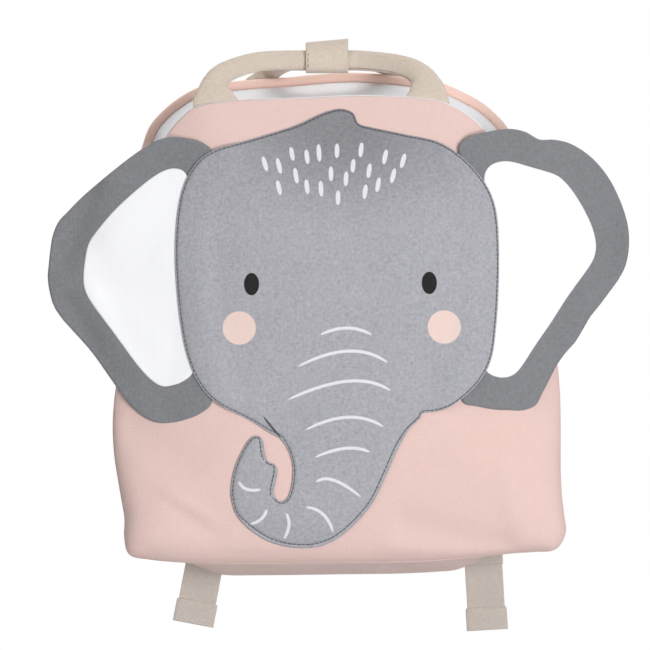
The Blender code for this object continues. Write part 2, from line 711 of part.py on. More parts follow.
def handles(beige):
    """Front handle out of the front seam, back handle off the back panel, both in one wrap."""
    aside = (HANDLE_TUBE + HANDLE_CLEAR) / 2
    foot = FRONT_SEAM + CANVAS + GAP + HANDLE_BASE_CLOTH / 2
    handle("handle_front", FRONT_HANDLE, HANDLE_SPAN, front_outline(480), foot, -aside, beige)
    foot = BACK_FACE + GAP + HANDLE_BASE_CLOTH / 2
    handle("handle_back", BACK_HANDLE, BACK_HANDLE_SPAN, back_outline(480), foot, aside, beige)
    turn = np.arange(20) * 2 * math.pi / 20
    rings = []
    for cloth in (0, WRAP_CLOTH):
        deep = HANDLE_TUBE + 2 * HANDLE_CLEAR + WRAP_CLOTH - cloth
        high = WRAP_HEIGHT / 2 - cloth
        y = deep * np.sign(np.cos(turn)) * np.abs(np.cos(turn)) ** 0.4
        z = WRAP_HEIGHT / 2 + high * np.sign(np.sin(turn)) * np.abs(np.sin(turn)) ** 0.4
        rings.append(np.column_stack((y, z)))
    sections = []
    for end in (-0.5, 0.5):
        for ring in rings if end < 0 else rings[::-1]:
            x = end * WRAP_LENGTH
            z = ring[:, 1] + np.maximum(ring[:, 1] - HANDLE_CREST, 0) / WRAP_HEIGHT * (
                x * WRAP_SLANT * 2)
            sections.append(np.column_stack((np.full(20, WRAP_SHIFT + x), ring[:, 0], z)))
    carry("handle_wrap", [sections[0], sections[3], sections[2], sections[1]], beige, closed=True)


def flat(path, breadth, cloth):
    """Flat sections along a path in a y and z plane: breadth lies across, cloth off the path."""
    tangent = np.gradient(path, axis=0)
    tangent /= np.linalg.norm(tangent, axis=1)[:, None]
    off = np.cross(tangent, (1, 0, 0))
    off /= np.linalg.norm(off, axis=1)[:, None]
    side = np.array((1.0, 0.0, 0.0))
    corners = ((-1, -1), (1, -1), (1, 1), (-1, 1))
    return np.stack([path + side * (a * breadth / 2)[:, None] + off * (b * cloth / 2)[:, None]
                     for a, b in corners], axis=1)


def over_bar(y, z, radius, start, stop):
    """Points of y and z on an arc round a bar of the ring."""
    turn = np.radians(np.linspace(start, stop, 9))
    return np.column_stack((y + radius * np.cos(turn), z + radius * np.sin(turn)))


def shoulder_strap(side, sign, padded, plastic, webbing):
    """Padded strap sewn to the back's top, a ring at its end, and webbing from the back's lower
    edge over the ring's low bar down to a hemmed tail."""
    edge_x = BODY_SHIFT + TAIL_SHIFT + sign * TAIL_SPREAD / 2

    def lean_x(z):
        return edge_x + sign * TAIL_LEANS[side] * (BACK_BOTTOM - z)

    down, stand, out, breadth, pad = smooth(np.array(STRAP_SECTIONS), 16, False).T
    hem = WEBBING_CLOTH * 1.5
    corner = RING_BAR * math.sqrt(0.5)
    hug = corner + GAP + hem / 2
    top_x = BODY_SHIFT + sign * STRAP_SPREAD / 2
    ring_x = lean_x(RING_TOP_BAR)
    strap = np.column_stack((
        top_x + (ring_x - top_x) * out,
        BACK_FACE + GAP + pad * STRAP_PAD / 2 + stand * STRAP_STAND,
        BACK_TOP - STRAP_TOP_DROP - down * STRAP_LENGTH,
    ))
    ring_y = strap[-1, 1] - hug
    fold = over_bar(ring_y, RING_TOP_BAR, hug, 0, -190)
    fold = np.vstack((fold, fold[-1] + (-0.0005, STRAP_LENGTH * 0.05)))
    fold = np.column_stack((lean_x(fold[:, 1]), fold))
    path = np.vstack((strap, fold))
    wide = np.concatenate((breadth * STRAP_WIDTH, np.full(len(fold), WEBBING_WIDTH)))
    thick = np.concatenate((pad * STRAP_PAD, np.full(len(fold), hem)))
    carry("shoulder_strap_" + side, flat(path, wide, thick), padded)

    frame = [(a * (WEBBING_WIDTH / 2 + RING_ROOM + grow), b * (RING_WINDOW / 2 + grow))
             for grow in (0, RING_BAR) for a, b in ((-1, -1), (1, -1), (1, 1), (-1, 1))]
    middle = (RING_TOP_BAR + RING_LOW_BAR) / 2
    loops = [[(lean_x(middle + z) + x, y, middle + z) for x, z in frame[k:k + 4]]
             for k, y in ((0, ring_y - RING_BAR / 2), (4, ring_y - RING_BAR / 2),
                          (4, ring_y + RING_BAR / 2), (0, ring_y + RING_BAR / 2))]
    carry("strap_ring_" + side, loops, plastic, closed=True)

    flat_y = BACK_FACE + GAP + WEBBING_CLOTH / 2
    hug = corner + GAP + WEBBING_CLOTH / 2
    sewn = np.array(((flat_y, BACK_BOTTOM + ANCHOR_RISE * 0.2),
                     (flat_y, BACK_BOTTOM + ANCHOR_RISE * 0.9)))
    loop = over_bar(ring_y, RING_LOW_BAR, hug, 200, -10)
    tail_y = ring_y + hug
    end = BACK_BOTTOM - TAIL_DROP - TAIL_EXTRAS[side]
    tail = np.array(((tail_y, RING_LOW_BAR - 2 * RING_BAR), (tail_y, BACK_BOTTOM),
                     (tail_y, end + TAIL_HEM), (tail_y, end + TAIL_HEM - GAP), (tail_y, end)))
    plan = np.vstack((sewn, loop, tail))
    path = np.column_stack((lean_x(plan[:, 1]), plan))
    hemmed = np.arange(len(path)) >= len(path) - 2
    wide = WEBBING_WIDTH + 2 * TAIL_HEM_SPARE * hemmed
    carry("webbing_" + side, flat(path, wide, WEBBING_CLOTH * (1 + 1.2 * hemmed)), webbing)


def main():
    for old in list(bpy.data.objects):
        bpy.data.objects.remove(old)
    pink = material("pink canvas", "EAC9C2", 0.9)
    white = material("white cotton", "F2F3F5", 0.9)
    grey = material("grey canvas", "A9AAAF", 0.9)
    rim_grey = material("grey ear canvas", "8C8E92", 0.9)
    beige = material("beige canvas", "CFC6B8", 0.9)
    cord = material("pink piping", "EFC0B0", 0.85)
    webbing = material("beige webbing", "BDB4AA", 0.85)
    nylon = material("white nylon coil", "E9EAEC", 0.5)
    metal = material("painted zip slider", "D9D9DB", 0.4)
    plastic = material("beige plastic", "C9C0B2", 0.45)
    shell_panels(pink, pink)
    zip_and_gusset(pink, white, nylon, metal)
    head_and_ears(grey, rim_grey, white)
    piping(cord)
    handles(beige)
    for side, sign in (("left", -1), ("right", 1)):
        shoulder_strap(side, sign, pink, plastic, webbing)


main()
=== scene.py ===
"""Toddler's canvas backpack with an elephant's face, hanging by its wrapped grab handles.

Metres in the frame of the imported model: +Z up, the face looks towards -Y, origin under the wrap.
"""
import math

import bmesh
import bpy
import numpy as np
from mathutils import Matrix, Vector
from mathutils.geometry import delaunay_2d_cdt


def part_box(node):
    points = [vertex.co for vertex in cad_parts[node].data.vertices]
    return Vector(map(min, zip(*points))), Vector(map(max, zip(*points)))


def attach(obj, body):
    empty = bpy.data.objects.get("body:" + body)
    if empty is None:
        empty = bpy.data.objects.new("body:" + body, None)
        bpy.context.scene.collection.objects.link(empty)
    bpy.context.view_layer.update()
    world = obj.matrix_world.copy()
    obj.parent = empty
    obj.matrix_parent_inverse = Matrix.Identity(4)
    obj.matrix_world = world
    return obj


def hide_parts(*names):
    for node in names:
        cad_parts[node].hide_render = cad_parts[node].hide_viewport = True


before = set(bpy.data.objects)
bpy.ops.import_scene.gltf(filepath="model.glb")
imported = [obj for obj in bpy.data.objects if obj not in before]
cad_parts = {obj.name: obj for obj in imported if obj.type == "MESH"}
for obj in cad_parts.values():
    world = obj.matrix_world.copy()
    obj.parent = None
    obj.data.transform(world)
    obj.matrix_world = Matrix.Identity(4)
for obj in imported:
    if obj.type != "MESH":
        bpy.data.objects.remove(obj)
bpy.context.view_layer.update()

# Camera
# The photo looks straight at the face, so the camera stands level with the middle of the picture
# with a long lens. One pixel of the 650 is 0.64 mm where the face is.
PIXEL = 0.00064
PICTURE = 650
HANG_PIXEL = (334.0, 70.5)
FACE_PLANE = -0.050
CAMERA_AWAY = 5.0


def spot(pixels):
    """x and z of points of the photograph: pixels right of and above the hanging point, times
    the size of a pixel."""
    pixels = np.asarray(pixels, float)
    return (pixels - HANG_PIXEL) * (PIXEL, -PIXEL)


camera_data = bpy.data.cameras.new("camera")
camera_data.sensor_width = 36
camera_data.lens = camera_data.sensor_width * CAMERA_AWAY / (PICTURE * PIXEL)
camera = bpy.data.objects.new("camera", camera_data)
middle_x, middle_z = spot((PICTURE / 2, PICTURE / 2))
camera.location = (middle_x, FACE_PLANE - CAMERA_AWAY, middle_z)
camera.rotation_euler = (math.pi / 2, 0, 0)
bpy.context.scene.collection.objects.link(camera)
bpy.context.scene.camera = camera

# Floor and light
# The bag hangs in a white studio, well above a pale paper floor. The key box stands to the right
# of the camera. Boxes above, at the left and behind are for the band, the left side and the back,
# a wide one lights the paper, and the white walls fill the shadows weakly.
FLOOR_BELOW = 1.60
FLOOR_HALF = 14.0
PAPER = "F2F2F2"
WALL_FILL = 0.26


def linear(hex_colour):
    """Linear red, green, blue and alpha of an sRGB hex value, by the sRGB curve."""
    coded = np.array([int(hex_colour[i:i + 2], 16) / 255 for i in (0, 2, 4)])
    parts = np.where(coded <= 0.04045, coded / 12.92, ((coded + 0.055) / 1.055) ** 2.4)
    return (*parts, 1.0)


def feed(node, inputs):
    """Set a node's inputs, or link them to a socket or to another node's first output."""
    for key, value in dict(inputs).items():
        if isinstance(value, bpy.types.Node):
            value = value.outputs[0]
        if isinstance(value, bpy.types.NodeSocket):
            node.id_data.links.new(value, node.inputs[key])
        else:
            node.inputs[key].default_value = value
    return node


def add(tree, kind, settings=(), inputs=()):
    """Add a shader node, set its properties, and feed its inputs."""
    made = tree.nodes.new("ShaderNode" + kind)
    for key, value in dict(settings).items():
        setattr(made, key, value)
    return feed(made, inputs)


def blank(name):
    """A material with only its Principled shader, and the node tree to add to."""
    made = bpy.data.materials.new(name)
    made.use_nodes = True
    return made, made.node_tree, made.node_tree.nodes["Principled BSDF"]


def speckled(name, dark, light, scale, detail, rough, relief=0, coat=0):
    """A plain finish whose colour wanders between two near tones with a fine noise, which also
    gives it a relief in metres."""
    made, tree, shader = blank(name)
    grain = add(tree, "TexNoise", inputs={"Scale": scale, "Detail": detail})
    tint = add(tree, "Mix", {"data_type": "RGBA"}, {0: grain, 6: linear(dark), 7: linear(light)})
    feed(shader, {"Base Color": tint.outputs[2], "Roughness": rough, "Coat Weight": coat})
    if relief:
        bump = add(tree, "Bump", inputs={"Height": grain, "Distance": relief})
        feed(shader, {"Normal": bump})
    return made


def grid_faces(rows, columns, round_rows=False, round_columns=False):
    """Four-sided faces of a grid of points, row after row, closed round where asked."""
    last_row = rows if round_rows else rows - 1
    last_column = columns if round_columns else columns - 1
    i, j = np.meshgrid(np.arange(last_row), np.arange(last_column), indexing="ij")
    down, over = (i + 1) % rows, (j + 1) % columns
    faces = np.stack((i * columns + j, i * columns + over,
                      down * columns + over, down * columns + j), axis=-1)
    return faces.reshape(-1, 4)


def piece(name, points, faces, finish, uv=None):
    """A mesh object at the origin; uv holds each point's own metres along and across the cloth."""
    mesh = bpy.data.meshes.new(name)
    mesh.from_pydata(np.asarray(points).tolist(), [], [list(map(int, f)) for f in faces])
    if uv is not None:
        corner = np.empty(len(mesh.loops), np.int32)
        mesh.loops.foreach_get("vertex_index", corner)
        mesh.uv_layers.new(name="cloth").data.foreach_set("uv", np.asarray(uv)[corner].ravel())
    mesh.polygons.foreach_set("use_smooth", [True] * len(mesh.polygons))
    mesh.materials.append(finish)
    made = bpy.data.objects.new(name, mesh)
    bpy.context.scene.collection.objects.link(made)
    return made


paper, paper_tree, paper_shader = blank("matt white paper")
grain = add(paper_tree, "TexNoise", inputs={"Scale": 40.0})
bump = add(paper_tree, "Bump", inputs={"Height": grain, "Distance": 0.0002})
feed(paper_shader, {"Base Color": linear(PAPER), "Normal": bump, "Roughness": 0.9})
corners = np.array(((-1, -1), (1, -1), (1, 1), (-1, 1))) * FLOOR_HALF
floor = piece("paper_floor", np.column_stack((corners, np.full(4, -FLOOR_BELOW))),
              np.array(((0, 1, 2, 3),)), paper)
floor.visible_diffuse = False

world = bpy.data.worlds.new("white studio")
world.use_nodes = True
seen = add(world.node_tree, "LightPath")
strength = add(world.node_tree, "MapRange", inputs={0: seen.outputs["Is Camera Ray"],
                                                    3: WALL_FILL, 4: 1.0})
feed(world.node_tree.nodes["Background"], {"Color": linear("FFFFFF"), "Strength": strength})
bpy.context.scene.world = world
bpy.context.scene.view_settings.view_transform = "Standard"


def soft_box(name, place, size, watts, aim=(0, 0, -0.18)):
    """A square area light at a place, turned towards the bag."""
    data = bpy.data.lights.new(name, "AREA")
    data.shape = "SQUARE"
    data.size = size
    data.energy = watts
    made = bpy.data.objects.new(name, data)
    made.location = place
    made.rotation_euler = (Vector(aim) - Vector(place)).to_track_quat("-Z", "Y").to_euler()
    bpy.context.scene.collection.objects.link(made)


soft_box("key_box", (0.95, -2.4, -0.40), 1.2, 58)
soft_box("top_box", (0.10, 0.45, 1.55), 1.8, 24, aim=(0, 0, 0))
soft_box("side_box", (-1.5, -1.9, 0.9), 1.6, 11, aim=(0, 0, -0.1))
soft_box("floor_box", (0, 0, -1.2), 28.0, 9000, aim=(0, 0, -2))
soft_box("rear_box", (-1.4, 2.6, 0.9), 1.4, 60)

# Front panel
# One piece of pink cotton canvas, cut to the bag's outline and stuffed out from its seam. It is
# sewn right sides together with the gusset, so no thread shows, and it rolls over at the bottom.
CANVAS = 0.0020
PANEL_GRID = 0.0026
BODY_MIDDLE = np.array((0.0032, -0.1655))
ROLL_LIFT = 0.0058
ROLL_REACH = 0.0052
ROLL_FADE = 0.045
ROLL_ABOVE = 0.25
GAP = 0.0003
PINK = "E4C8C2"
PINK_SHADE = "DABCB5"

# Soft folds of the front: pixels of the two ends, half width in metres, height in metres.
FRONT_FOLDS = (
    # from x, from y, to x, to y, half width, height
    (408, 524, 505, 550, 0.011, -0.0028), (392, 548, 450, 556, 0.007, 0.0012),
    (508, 470, 522, 552, 0.008, 0.0018), (168, 492, 212, 520, 0.0045, 0.0009),
    (172, 508, 215, 538, 0.0055, -0.001), (135, 430, 190, 470, 0.012, -0.0016),
    (160, 540, 260, 548, 0.009, 0.0012), (470, 420, 540, 436, 0.012, -0.0014),
    (205, 112, 300, 104, 0.007, 0.0009), (400, 108, 470, 130, 0.008, -0.001),
)


def ease(share):
    """Smooth step: three times the square less twice the cube of a share between 0 and 1."""
    share = np.clip(share, 0, 1)
    return share * share * (3 - 2 * share)


def unit(rows):
    """Each row's way: the row over its own length."""
    return rows / np.linalg.norm(rows, axis=1)[:, None]


def metres_along(line):
    """Length of a line from its first point to each point: the running sum of its steps."""
    return np.concatenate(([0], np.cumsum(np.linalg.norm(np.diff(line, axis=0), axis=1))))


def read_at(wanted, along, rows, period=None):
    """Rows read at wanted places, straight between their own places along."""
    return np.column_stack([np.interp(wanted, along, row, period=period) for row in rows.T])


def even(rows, step, closed=True):
    """Points a step apart along a Catmull-Rom curve through the rows; the first two columns set
    the length, and the other columns follow."""
    rows = np.asarray(rows, float)
    if closed:
        guide = np.vstack((rows[-1:], rows, rows[:2]))
    else:
        guide = np.vstack((2 * rows[0] - rows[1], rows, 2 * rows[-1] - rows[-2]))
    t = np.linspace(0, 1, 16, endpoint=False)[:, None, None]
    before, start, stop, after = guide[:-3], guide[1:-2], guide[2:-1], guide[3:]
    curve = 0.5 * (2 * start + (stop - before) * t
                   + (2 * before - 5 * start + 4 * stop - after) * t ** 2
                   + (3 * start - before - 3 * stop + after) * t ** 3)
    curve = curve.transpose(1, 0, 2).reshape(-1, rows.shape[1])
    curve = np.vstack((curve, rows[:1] if closed else rows[-1:]))
    along = metres_along(curve[:, :2])
    count = max(8, round(along[-1] / step))
    wanted = np.linspace(0, along[-1], count, endpoint=not closed)
    return read_at(wanted, along, curve)


def cut_line(node, side=-1):
    """Outline of a cut CAD panel as x and z points, counter-clockwise from the front: the edges
    that only one triangle of its front face has (side -1), or of its back face (side 1)."""
    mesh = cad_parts[node].data
    mesh.calc_loop_triangles()
    points = np.empty(len(mesh.vertices) * 3)
    mesh.vertices.foreach_get("co", points)
    corners = np.empty(len(mesh.loop_triangles) * 3, np.int32)
    mesh.loop_triangles.foreach_get("vertices", corners)
    places, number = np.unique(points.reshape(-1, 3).round(6), axis=0, return_inverse=True)
    faces = number.ravel()[corners].reshape(-1, 3)
    a, b, c = (places[faces[:, k]] for k in range(3))
    normal = np.cross(b - a, c - a)
    normal /= np.maximum(np.linalg.norm(normal, axis=1), 1e-12)[:, None]
    faces = faces[normal[:, 1] * side > 0.3]
    edges = np.vstack((faces[:, :2], faces[:, 1:], faces[:, [2, 0]]))
    known = set(map(tuple, edges.tolist()))
    follows = {first: last for first, last in known if (last, first) not in known}
    chain = [next(iter(follows))]
    while follows[chain[-1]] != chain[0]:
        chain.append(follows[chain[-1]])
    loop = places[chain][:, [0, 2]]
    return loop if side < 0 else loop[::-1]


def inward(loop):
    """Unit normals that point into a closed counter-clockwise loop."""
    tangent = np.roll(loop, -1, axis=0) - np.roll(loop, 1, axis=0)
    tangent = unit(tangent)
    return np.column_stack((-tangent[:, 1], tangent[:, 0]))


def near(loop, points):
    """Distance of each point to a closed loop, the number of the nearest side, and whether the
    point is inside: a ray from an inside point crosses the loop an odd number of times."""
    stop = np.roll(loop, -1, axis=0)
    run = stop - loop
    length = np.maximum((run ** 2).sum(1), 1e-18)
    found = []
    for part in np.array_split(points, len(points) // 1500 + 1):
        offset = part[:, None] - loop
        share = np.clip((offset * run).sum(2) / length, 0, 1)
        gap = np.linalg.norm(offset - share[..., None] * run, axis=2)
        spans = (loop[:, 1] > part[:, None, 1]) != (stop[:, 1] > part[:, None, 1])
        rise = np.where(np.abs(run[:, 1]) < 1e-12, 1e-12, run[:, 1])
        crossing = loop[:, 0] + offset[..., 1] * run[:, 0] / rise
        odd = (spans & (part[:, None, 0] < crossing)).sum(1) % 2
        found.append(np.column_stack((gap.min(1), gap.argmin(1), odd)))
    found = np.vstack(found)
    return found[:, 0], found[:, 1].astype(int), found[:, 2] == 1


def to_segment(points, start, stop):
    """Distance of points to a straight line between two places, and the share along it."""
    run = np.subtract(stop, start)
    share = ((points - start) @ run) / (run @ run)
    held = np.clip(share, 0, 1)
    return np.linalg.norm(points - start - held[:, None] * run, axis=1), share


def folds(points, table):
    """Height of soft folds: each is a ridge that falls off as a bell on both sides of its line
    and eases out past its ends."""
    total = np.zeros(len(points))
    for x0, y0, x1, y1, width, height in table:
        distance, share = to_segment(points, spot((x0, y0)), spot((x1, y1)))
        total += height * np.exp(-(distance / width) ** 2)
    return total


def full_turn(count):
    """Angles evenly once round, without the last one that would meet the first."""
    return np.arange(count) * 2 * math.pi / count


def swell(points, scale, seed):
    """Gentle unevenness between -1 and 1: five sine waves of different ways across the cloth."""
    random = np.random.default_rng(seed)
    total = np.zeros(len(points))
    for turn, phase in random.uniform(0, 2 * math.pi, (5, 2)):
        way = np.array((math.cos(turn), math.sin(turn))) * 2 * math.pi / scale
        total += np.sin(points @ way * random.uniform(0.7, 1.4) + phase) / 5
    return total


front_low, front_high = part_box("front_panel")
SEAM_Y = front_high.y - CANVAS
BULGE = SEAM_Y - front_low.y
body_edge = even(cut_line("front_panel"), 0.0018)
body_reach = np.linalg.norm(body_edge - BODY_MIDDLE, axis=1)
body_angle = np.arctan2(*(body_edge - BODY_MIDDLE).T[::-1])


def share_of(points):
    """How far out a point lies from the body's middle: 0 there and 1 on the front seam; and the
    distance from the middle to the seam that way."""
    offset = points - BODY_MIDDLE
    order = np.argsort(body_angle)
    reach = np.interp(np.arctan2(offset[:, 1], offset[:, 0]), body_angle[order],
                      body_reach[order], period=2 * math.pi)
    return np.linalg.norm(offset, axis=1) / reach, reach


def front_y(points):
    """Y of the stuffed front: the bulge falls with the cube of the share, and the last few
    millimetres roll over, most of all at the bottom."""
    share, reach = share_of(points)
    share = np.minimum(share, 1)
    inset = (1 - share) * reach
    below = ease((BODY_MIDDLE[1] - points[:, 1]) / 0.10)
    roll = ROLL_LIFT * (ROLL_ABOVE + (1 - ROLL_ABOVE) * below)
    roll = roll * (1 - np.exp(-inset / ROLL_REACH)) * np.exp(-inset / ROLL_FADE)
    quiet = ease(inset / 0.012)
    uneven = 0.0011 * swell(points, 0.085, 3) + folds(points, FRONT_FOLDS)
    return SEAM_Y - BULGE * (1 - share ** 3) - roll - uneven * quiet


def stood(points, y):
    """Points of x, y and z from points of x and z and their y."""
    return np.column_stack((points[:, 0], np.broadcast_to(y, len(points)), points[:, 1]))


def cut_cloth(name, edge, insets, face, back, finishes, prints=(), step=PANEL_GRID):
    """A cut piece of cloth, closed all round. Rows of points follow its edge inwards at the
    insets, and a square grid fills the rest; face and back give y of its two sides from the
    points, their distance to the edge and the number of the nearest edge point. Each print is a
    loop of x and z and the number of its finish."""
    normal = inward(edge)
    rows = np.vstack([edge + normal * np.reshape(inset, (-1, 1)) for inset in insets])
    wanted = np.concatenate([np.broadcast_to(inset, len(edge)) for inset in insets])
    low, high = edge.min(0), edge.max(0)
    columns = [np.arange(a, b, step) for a, b in zip(low, high)]
    grid = np.stack(np.meshgrid(*columns), axis=-1).reshape(-1, 2)
    grid[:, 0] += np.where(np.round((grid[:, 1] - low[1]) / step) % 2, step / 2, 0)
    clear, nearest, inside = near(edge, np.vstack((rows, grid)))
    kept = inside[:len(rows)] & (clear[:len(rows)] > 0.93 * wanted)
    deepest = np.broadcast_to(insets[-1], len(edge))[nearest[len(rows):]]
    filled = inside[len(rows):] & (clear[len(rows):] > deepest + 0.5 * step)
    for loop, finish in prints:
        gap, side, within = near(loop, grid)
        filled &= gap > 0.25 * step
    flat = np.vstack((edge, rows[kept], grid[filled], *[loop for loop, finish in prints]))
    rings = [list(range(len(edge)))]
    start = len(edge) + kept.sum() + filled.sum()
    for loop, finish in prints:
        rings.append(list(range(start, start + len(loop))))
        start += len(loop)
    made = delaunay_2d_cdt([Vector(p) for p in flat.tolist()], [], rings, 1, 1e-7)
    points = np.array([tuple(p) for p in made[0]])
    faces = np.array(made[2])
    distance, number, inside = near(edge, points)
    count = len(points)
    edges = np.vstack((faces[:, :2], faces[:, 1:], faces[:, [2, 0]]))
    code = edges[:, 0] * count + edges[:, 1]
    rim = edges[~np.isin(code, edges[:, 1] * count + edges[:, 0])]
    front = face(points, distance, number)
    rear = back(points, distance, number)
    body = np.vstack((stood(points, front), stood(points, rear)))
    wall = np.column_stack((rim[:, 1], rim[:, 0], rim[:, 0] + count, rim[:, 1] + count))
    all_faces = faces.tolist() + (faces[:, ::-1] + count).tolist() + wall.tolist()
    made_piece = piece(name, body, all_faces, finishes[0], uv=np.tile(points, (2, 1)))
    mesh = made_piece.data
    for finish in finishes[1:]:
        mesh.materials.append(finish)
    finish_of = {number: finish for number, (loop, finish) in enumerate(prints, 1)}
    numbers = np.zeros(len(all_faces), np.int32)
    numbers[:len(faces)] = [finish_of.get(max(found, default=0), 0) for found in made[5]]
    mesh.polygons.foreach_set("material_index", numbers)
    return made_piece


def dress(made, node):
    """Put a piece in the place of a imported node, on the bag's one body."""
    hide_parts(node)
    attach(made, "root")


# Cotton canvas is a plain weave of 0.5 mm threads with a dry, matt face. The real thread is under
# a pixel of the picture, so the weave is drawn at THREAD, coarse enough to show as a fine grain.
THREAD = 0.00085
THREAD_RELIEF = 0.00016


def woven(name, light, dark, relief=THREAD_RELIEF, thread=THREAD, slub=0.35, by_uv=False,
          mottle=0.3, turn=0.0):
    """A plain-woven cotton cloth: the sine across one thread times the sine across the other is a
    hill in each crossing, its sign tells warp from weft, and streaks of noise along both threads
    are the slubs of the yarn."""
    made, tree, shader = blank(name)
    source = add(tree, "TexCoord").outputs["UV" if by_uv else "Object"]
    placed = add(tree, "Mapping", inputs={"Vector": source,
                                          "Rotation": (0, 0, turn) if by_uv else (0, turn, 0)})
    parts = add(tree, "SeparateXYZ", inputs={0: placed})
    across, along = parts, parts.outputs[1 if by_uv else 2]
    waves = []
    for way in (across, along):
        scaled = add(tree, "Math", {"operation": "MULTIPLY"}, {0: way, 1: math.pi / thread})
        waves.append(add(tree, "Math", {"operation": "SINE"}, {0: scaled}))
    crossing = add(tree, "Math", {"operation": "MULTIPLY"}, {0: waves[0], 1: waves[1]})
    height = add(tree, "Math", {"operation": "ABSOLUTE"}, {0: crossing})
    height = add(tree, "Math", {"operation": "POWER"}, {0: height, 1: 0.6})
    streaks = []
    for stretch in ((0.38, 1.0), (1.0, 0.38)):
        scale = (stretch[0], stretch[1], 1) if by_uv else (stretch[0], 1, stretch[1])
        drawn = add(tree, "Mapping", inputs={"Vector": placed, "Scale": scale})
        streaks.append(add(tree, "TexNoise", inputs={
            "Vector": drawn, "Scale": 0.85 / thread, "Detail": 2.0, "Roughness": 0.6}))
    slubs = add(tree, "Math", {"operation": "ADD"}, {0: streaks[0], 1: streaks[1]})
    yarn = add(tree, "Math", {"operation": "MULTIPLY_ADD"},
               {0: slubs, 1: slub * 4, 2: 0.5 - slub * 4})
    cloud = add(tree, "TexNoise", inputs={"Vector": placed, "Scale": 16.0, "Detail": 3.0})
    cloud = add(tree, "Math", {"operation": "MULTIPLY_ADD"}, {0: cloud, 1: mottle, 2: -mottle / 2})
    sided = add(tree, "Math", {"operation": "MULTIPLY_ADD"}, {0: crossing, 1: 0.16, 2: yarn})
    mixed = add(tree, "Math", {"operation": "ADD", "use_clamp": True}, {0: sided, 1: cloud})
    tone = add(tree, "Mix", {"data_type": "RGBA"}, {0: mixed, 6: linear(dark), 7: linear(light)})
    rough = add(tree, "Math", {"operation": "MULTIPLY_ADD"}, {0: streaks[0], 1: 0.10, 2: 0.82})
    full = add(tree, "Math", {"operation": "MULTIPLY_ADD"}, {0: slubs, 1: 0.5, 2: height})
    bump = add(tree, "Bump", inputs={"Height": full, "Distance": relief, "Strength": 0.8})
    feed(shader, {"Base Color": tone.outputs[2], "Roughness": rough, "Normal": bump,
                  "Sheen Weight": 0.12, "Sheen Roughness": 0.55, "Specular IOR Level": 0.25})
    return made


pink_canvas = woven("pink cotton canvas", PINK, PINK_SHADE, slub=0.22)

front_panel = cut_cloth(
    "front_shell", body_edge, (0.0007, 0.0016, 0.0027, 0.0040),
    lambda points, inset, number: front_y(points),
    lambda points, inset, number: front_y(points) + CANVAS, [pink_canvas])
dress(front_panel, "front_panel")

# Gusset and zip band
# The gusset is a strip of the same pink canvas round the sides and the bottom. Over the top it is
# a white cotton band with the zip in its middle, which dips between its two seams.
ZIP_SAG = 0.0060
BAND_WHITE = "F3F3F5"
BAND_SHADE = "E2E2E6"
SEAM_COUNT = 640

back_edge = even(cut_line("back_panel", 1), 0.0018)
BACK_SEAM_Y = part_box("back_panel")[0].y - GAP


def from_bottom(loop, count):
    """A seam read clockwise from the middle of its bottom, as count points evenly by length."""
    loop = loop[::-1]
    low = np.where(loop[:, 1] < loop[:, 1].mean(), np.abs(loop[:, 0] - BODY_MIDDLE[0]), 9)
    loop = np.roll(loop, -int(low.argmin()), axis=0)
    closed = np.vstack((loop, loop[:1]))
    along = metres_along(closed)
    wanted = np.arange(count) / count * along[-1]
    return read_at(wanted, along, closed)


front_seam = from_bottom(body_edge, SEAM_COUNT)
back_seam = from_bottom(back_edge, SEAM_COUNT)
girth = np.linalg.norm(np.roll(front_seam, -1, axis=0) - front_seam, axis=1).sum()
above = np.flatnonzero(front_seam[:, 1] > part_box("zip_band")[0].z + 0.002)
ZIP_LEFT, ZIP_RIGHT = above[0] / SEAM_COUNT, above[-1] / SEAM_COUNT


def between_seams(shares, depths, dip):
    """Points of the cloth between the seams: a straight run from the front seam to the back
    seam, moved in across it by dip(share, depth); shares and depths make the grid."""
    along = np.arange(SEAM_COUNT) / SEAM_COUNT
    ends = []
    for loop in (front_seam, back_seam):
        out = inward(loop)
        for rows in (loop, out):
            ends.append(read_at(shares, along, rows, period=1))
    near_seam, near_out, far_seam, far_out = ends
    v = depths[None, :, None]
    flat = near_seam[:, None] * (1 - v) + far_seam[:, None] * v
    out = near_out[:, None] * (1 - v) + far_out[:, None] * v
    out /= np.linalg.norm(out, axis=2, keepdims=True)
    share, depth = np.meshgrid(shares, depths, indexing="ij")
    flat = flat - out * dip(share, depth)[..., None]
    y = SEAM_Y + (BACK_SEAM_Y - SEAM_Y) * depth
    return np.stack((flat[..., 0], y, flat[..., 1]), axis=-1)


def zip_dip(share, depth):
    """The band's dip: a flattened half wave across it, eased to nothing at its two ends, and a
    tuck behind the front panel's edge."""
    progress = (share - ZIP_LEFT) / (ZIP_RIGHT - ZIP_LEFT)
    ends = ease(8 * np.minimum(progress, 1 - progress))
    ripple = 0.0004 * np.sin(share * girth / 0.021) * np.sin(math.pi * depth) ** 2
    tuck = 0.0015 * np.exp(-depth / 0.04)
    return ZIP_SAG * ends * np.sin(math.pi * depth) ** 1.5 + ripple + tuck


def gusset_dip(share, depth):
    """The gusset lies just inside its seams, with shallow cross folds."""
    full = np.sin(math.pi * depth)
    fold = np.sin(share * girth / 0.017 + 2.2 * np.sin(share * girth / 0.055))
    fine = 0.0010 * fold * full ** 1.3 * np.sin(3.1 * depth + share * 40)
    return 0.0010 + 0.0006 * full + fine


white_cotton = woven("white cotton drill", BAND_WHITE, BAND_SHADE, slub=0.15, by_uv=True)
pink_by_uv = woven("pink cotton canvas cut in strips", PINK, PINK_SHADE, slub=0.22, by_uv=True)

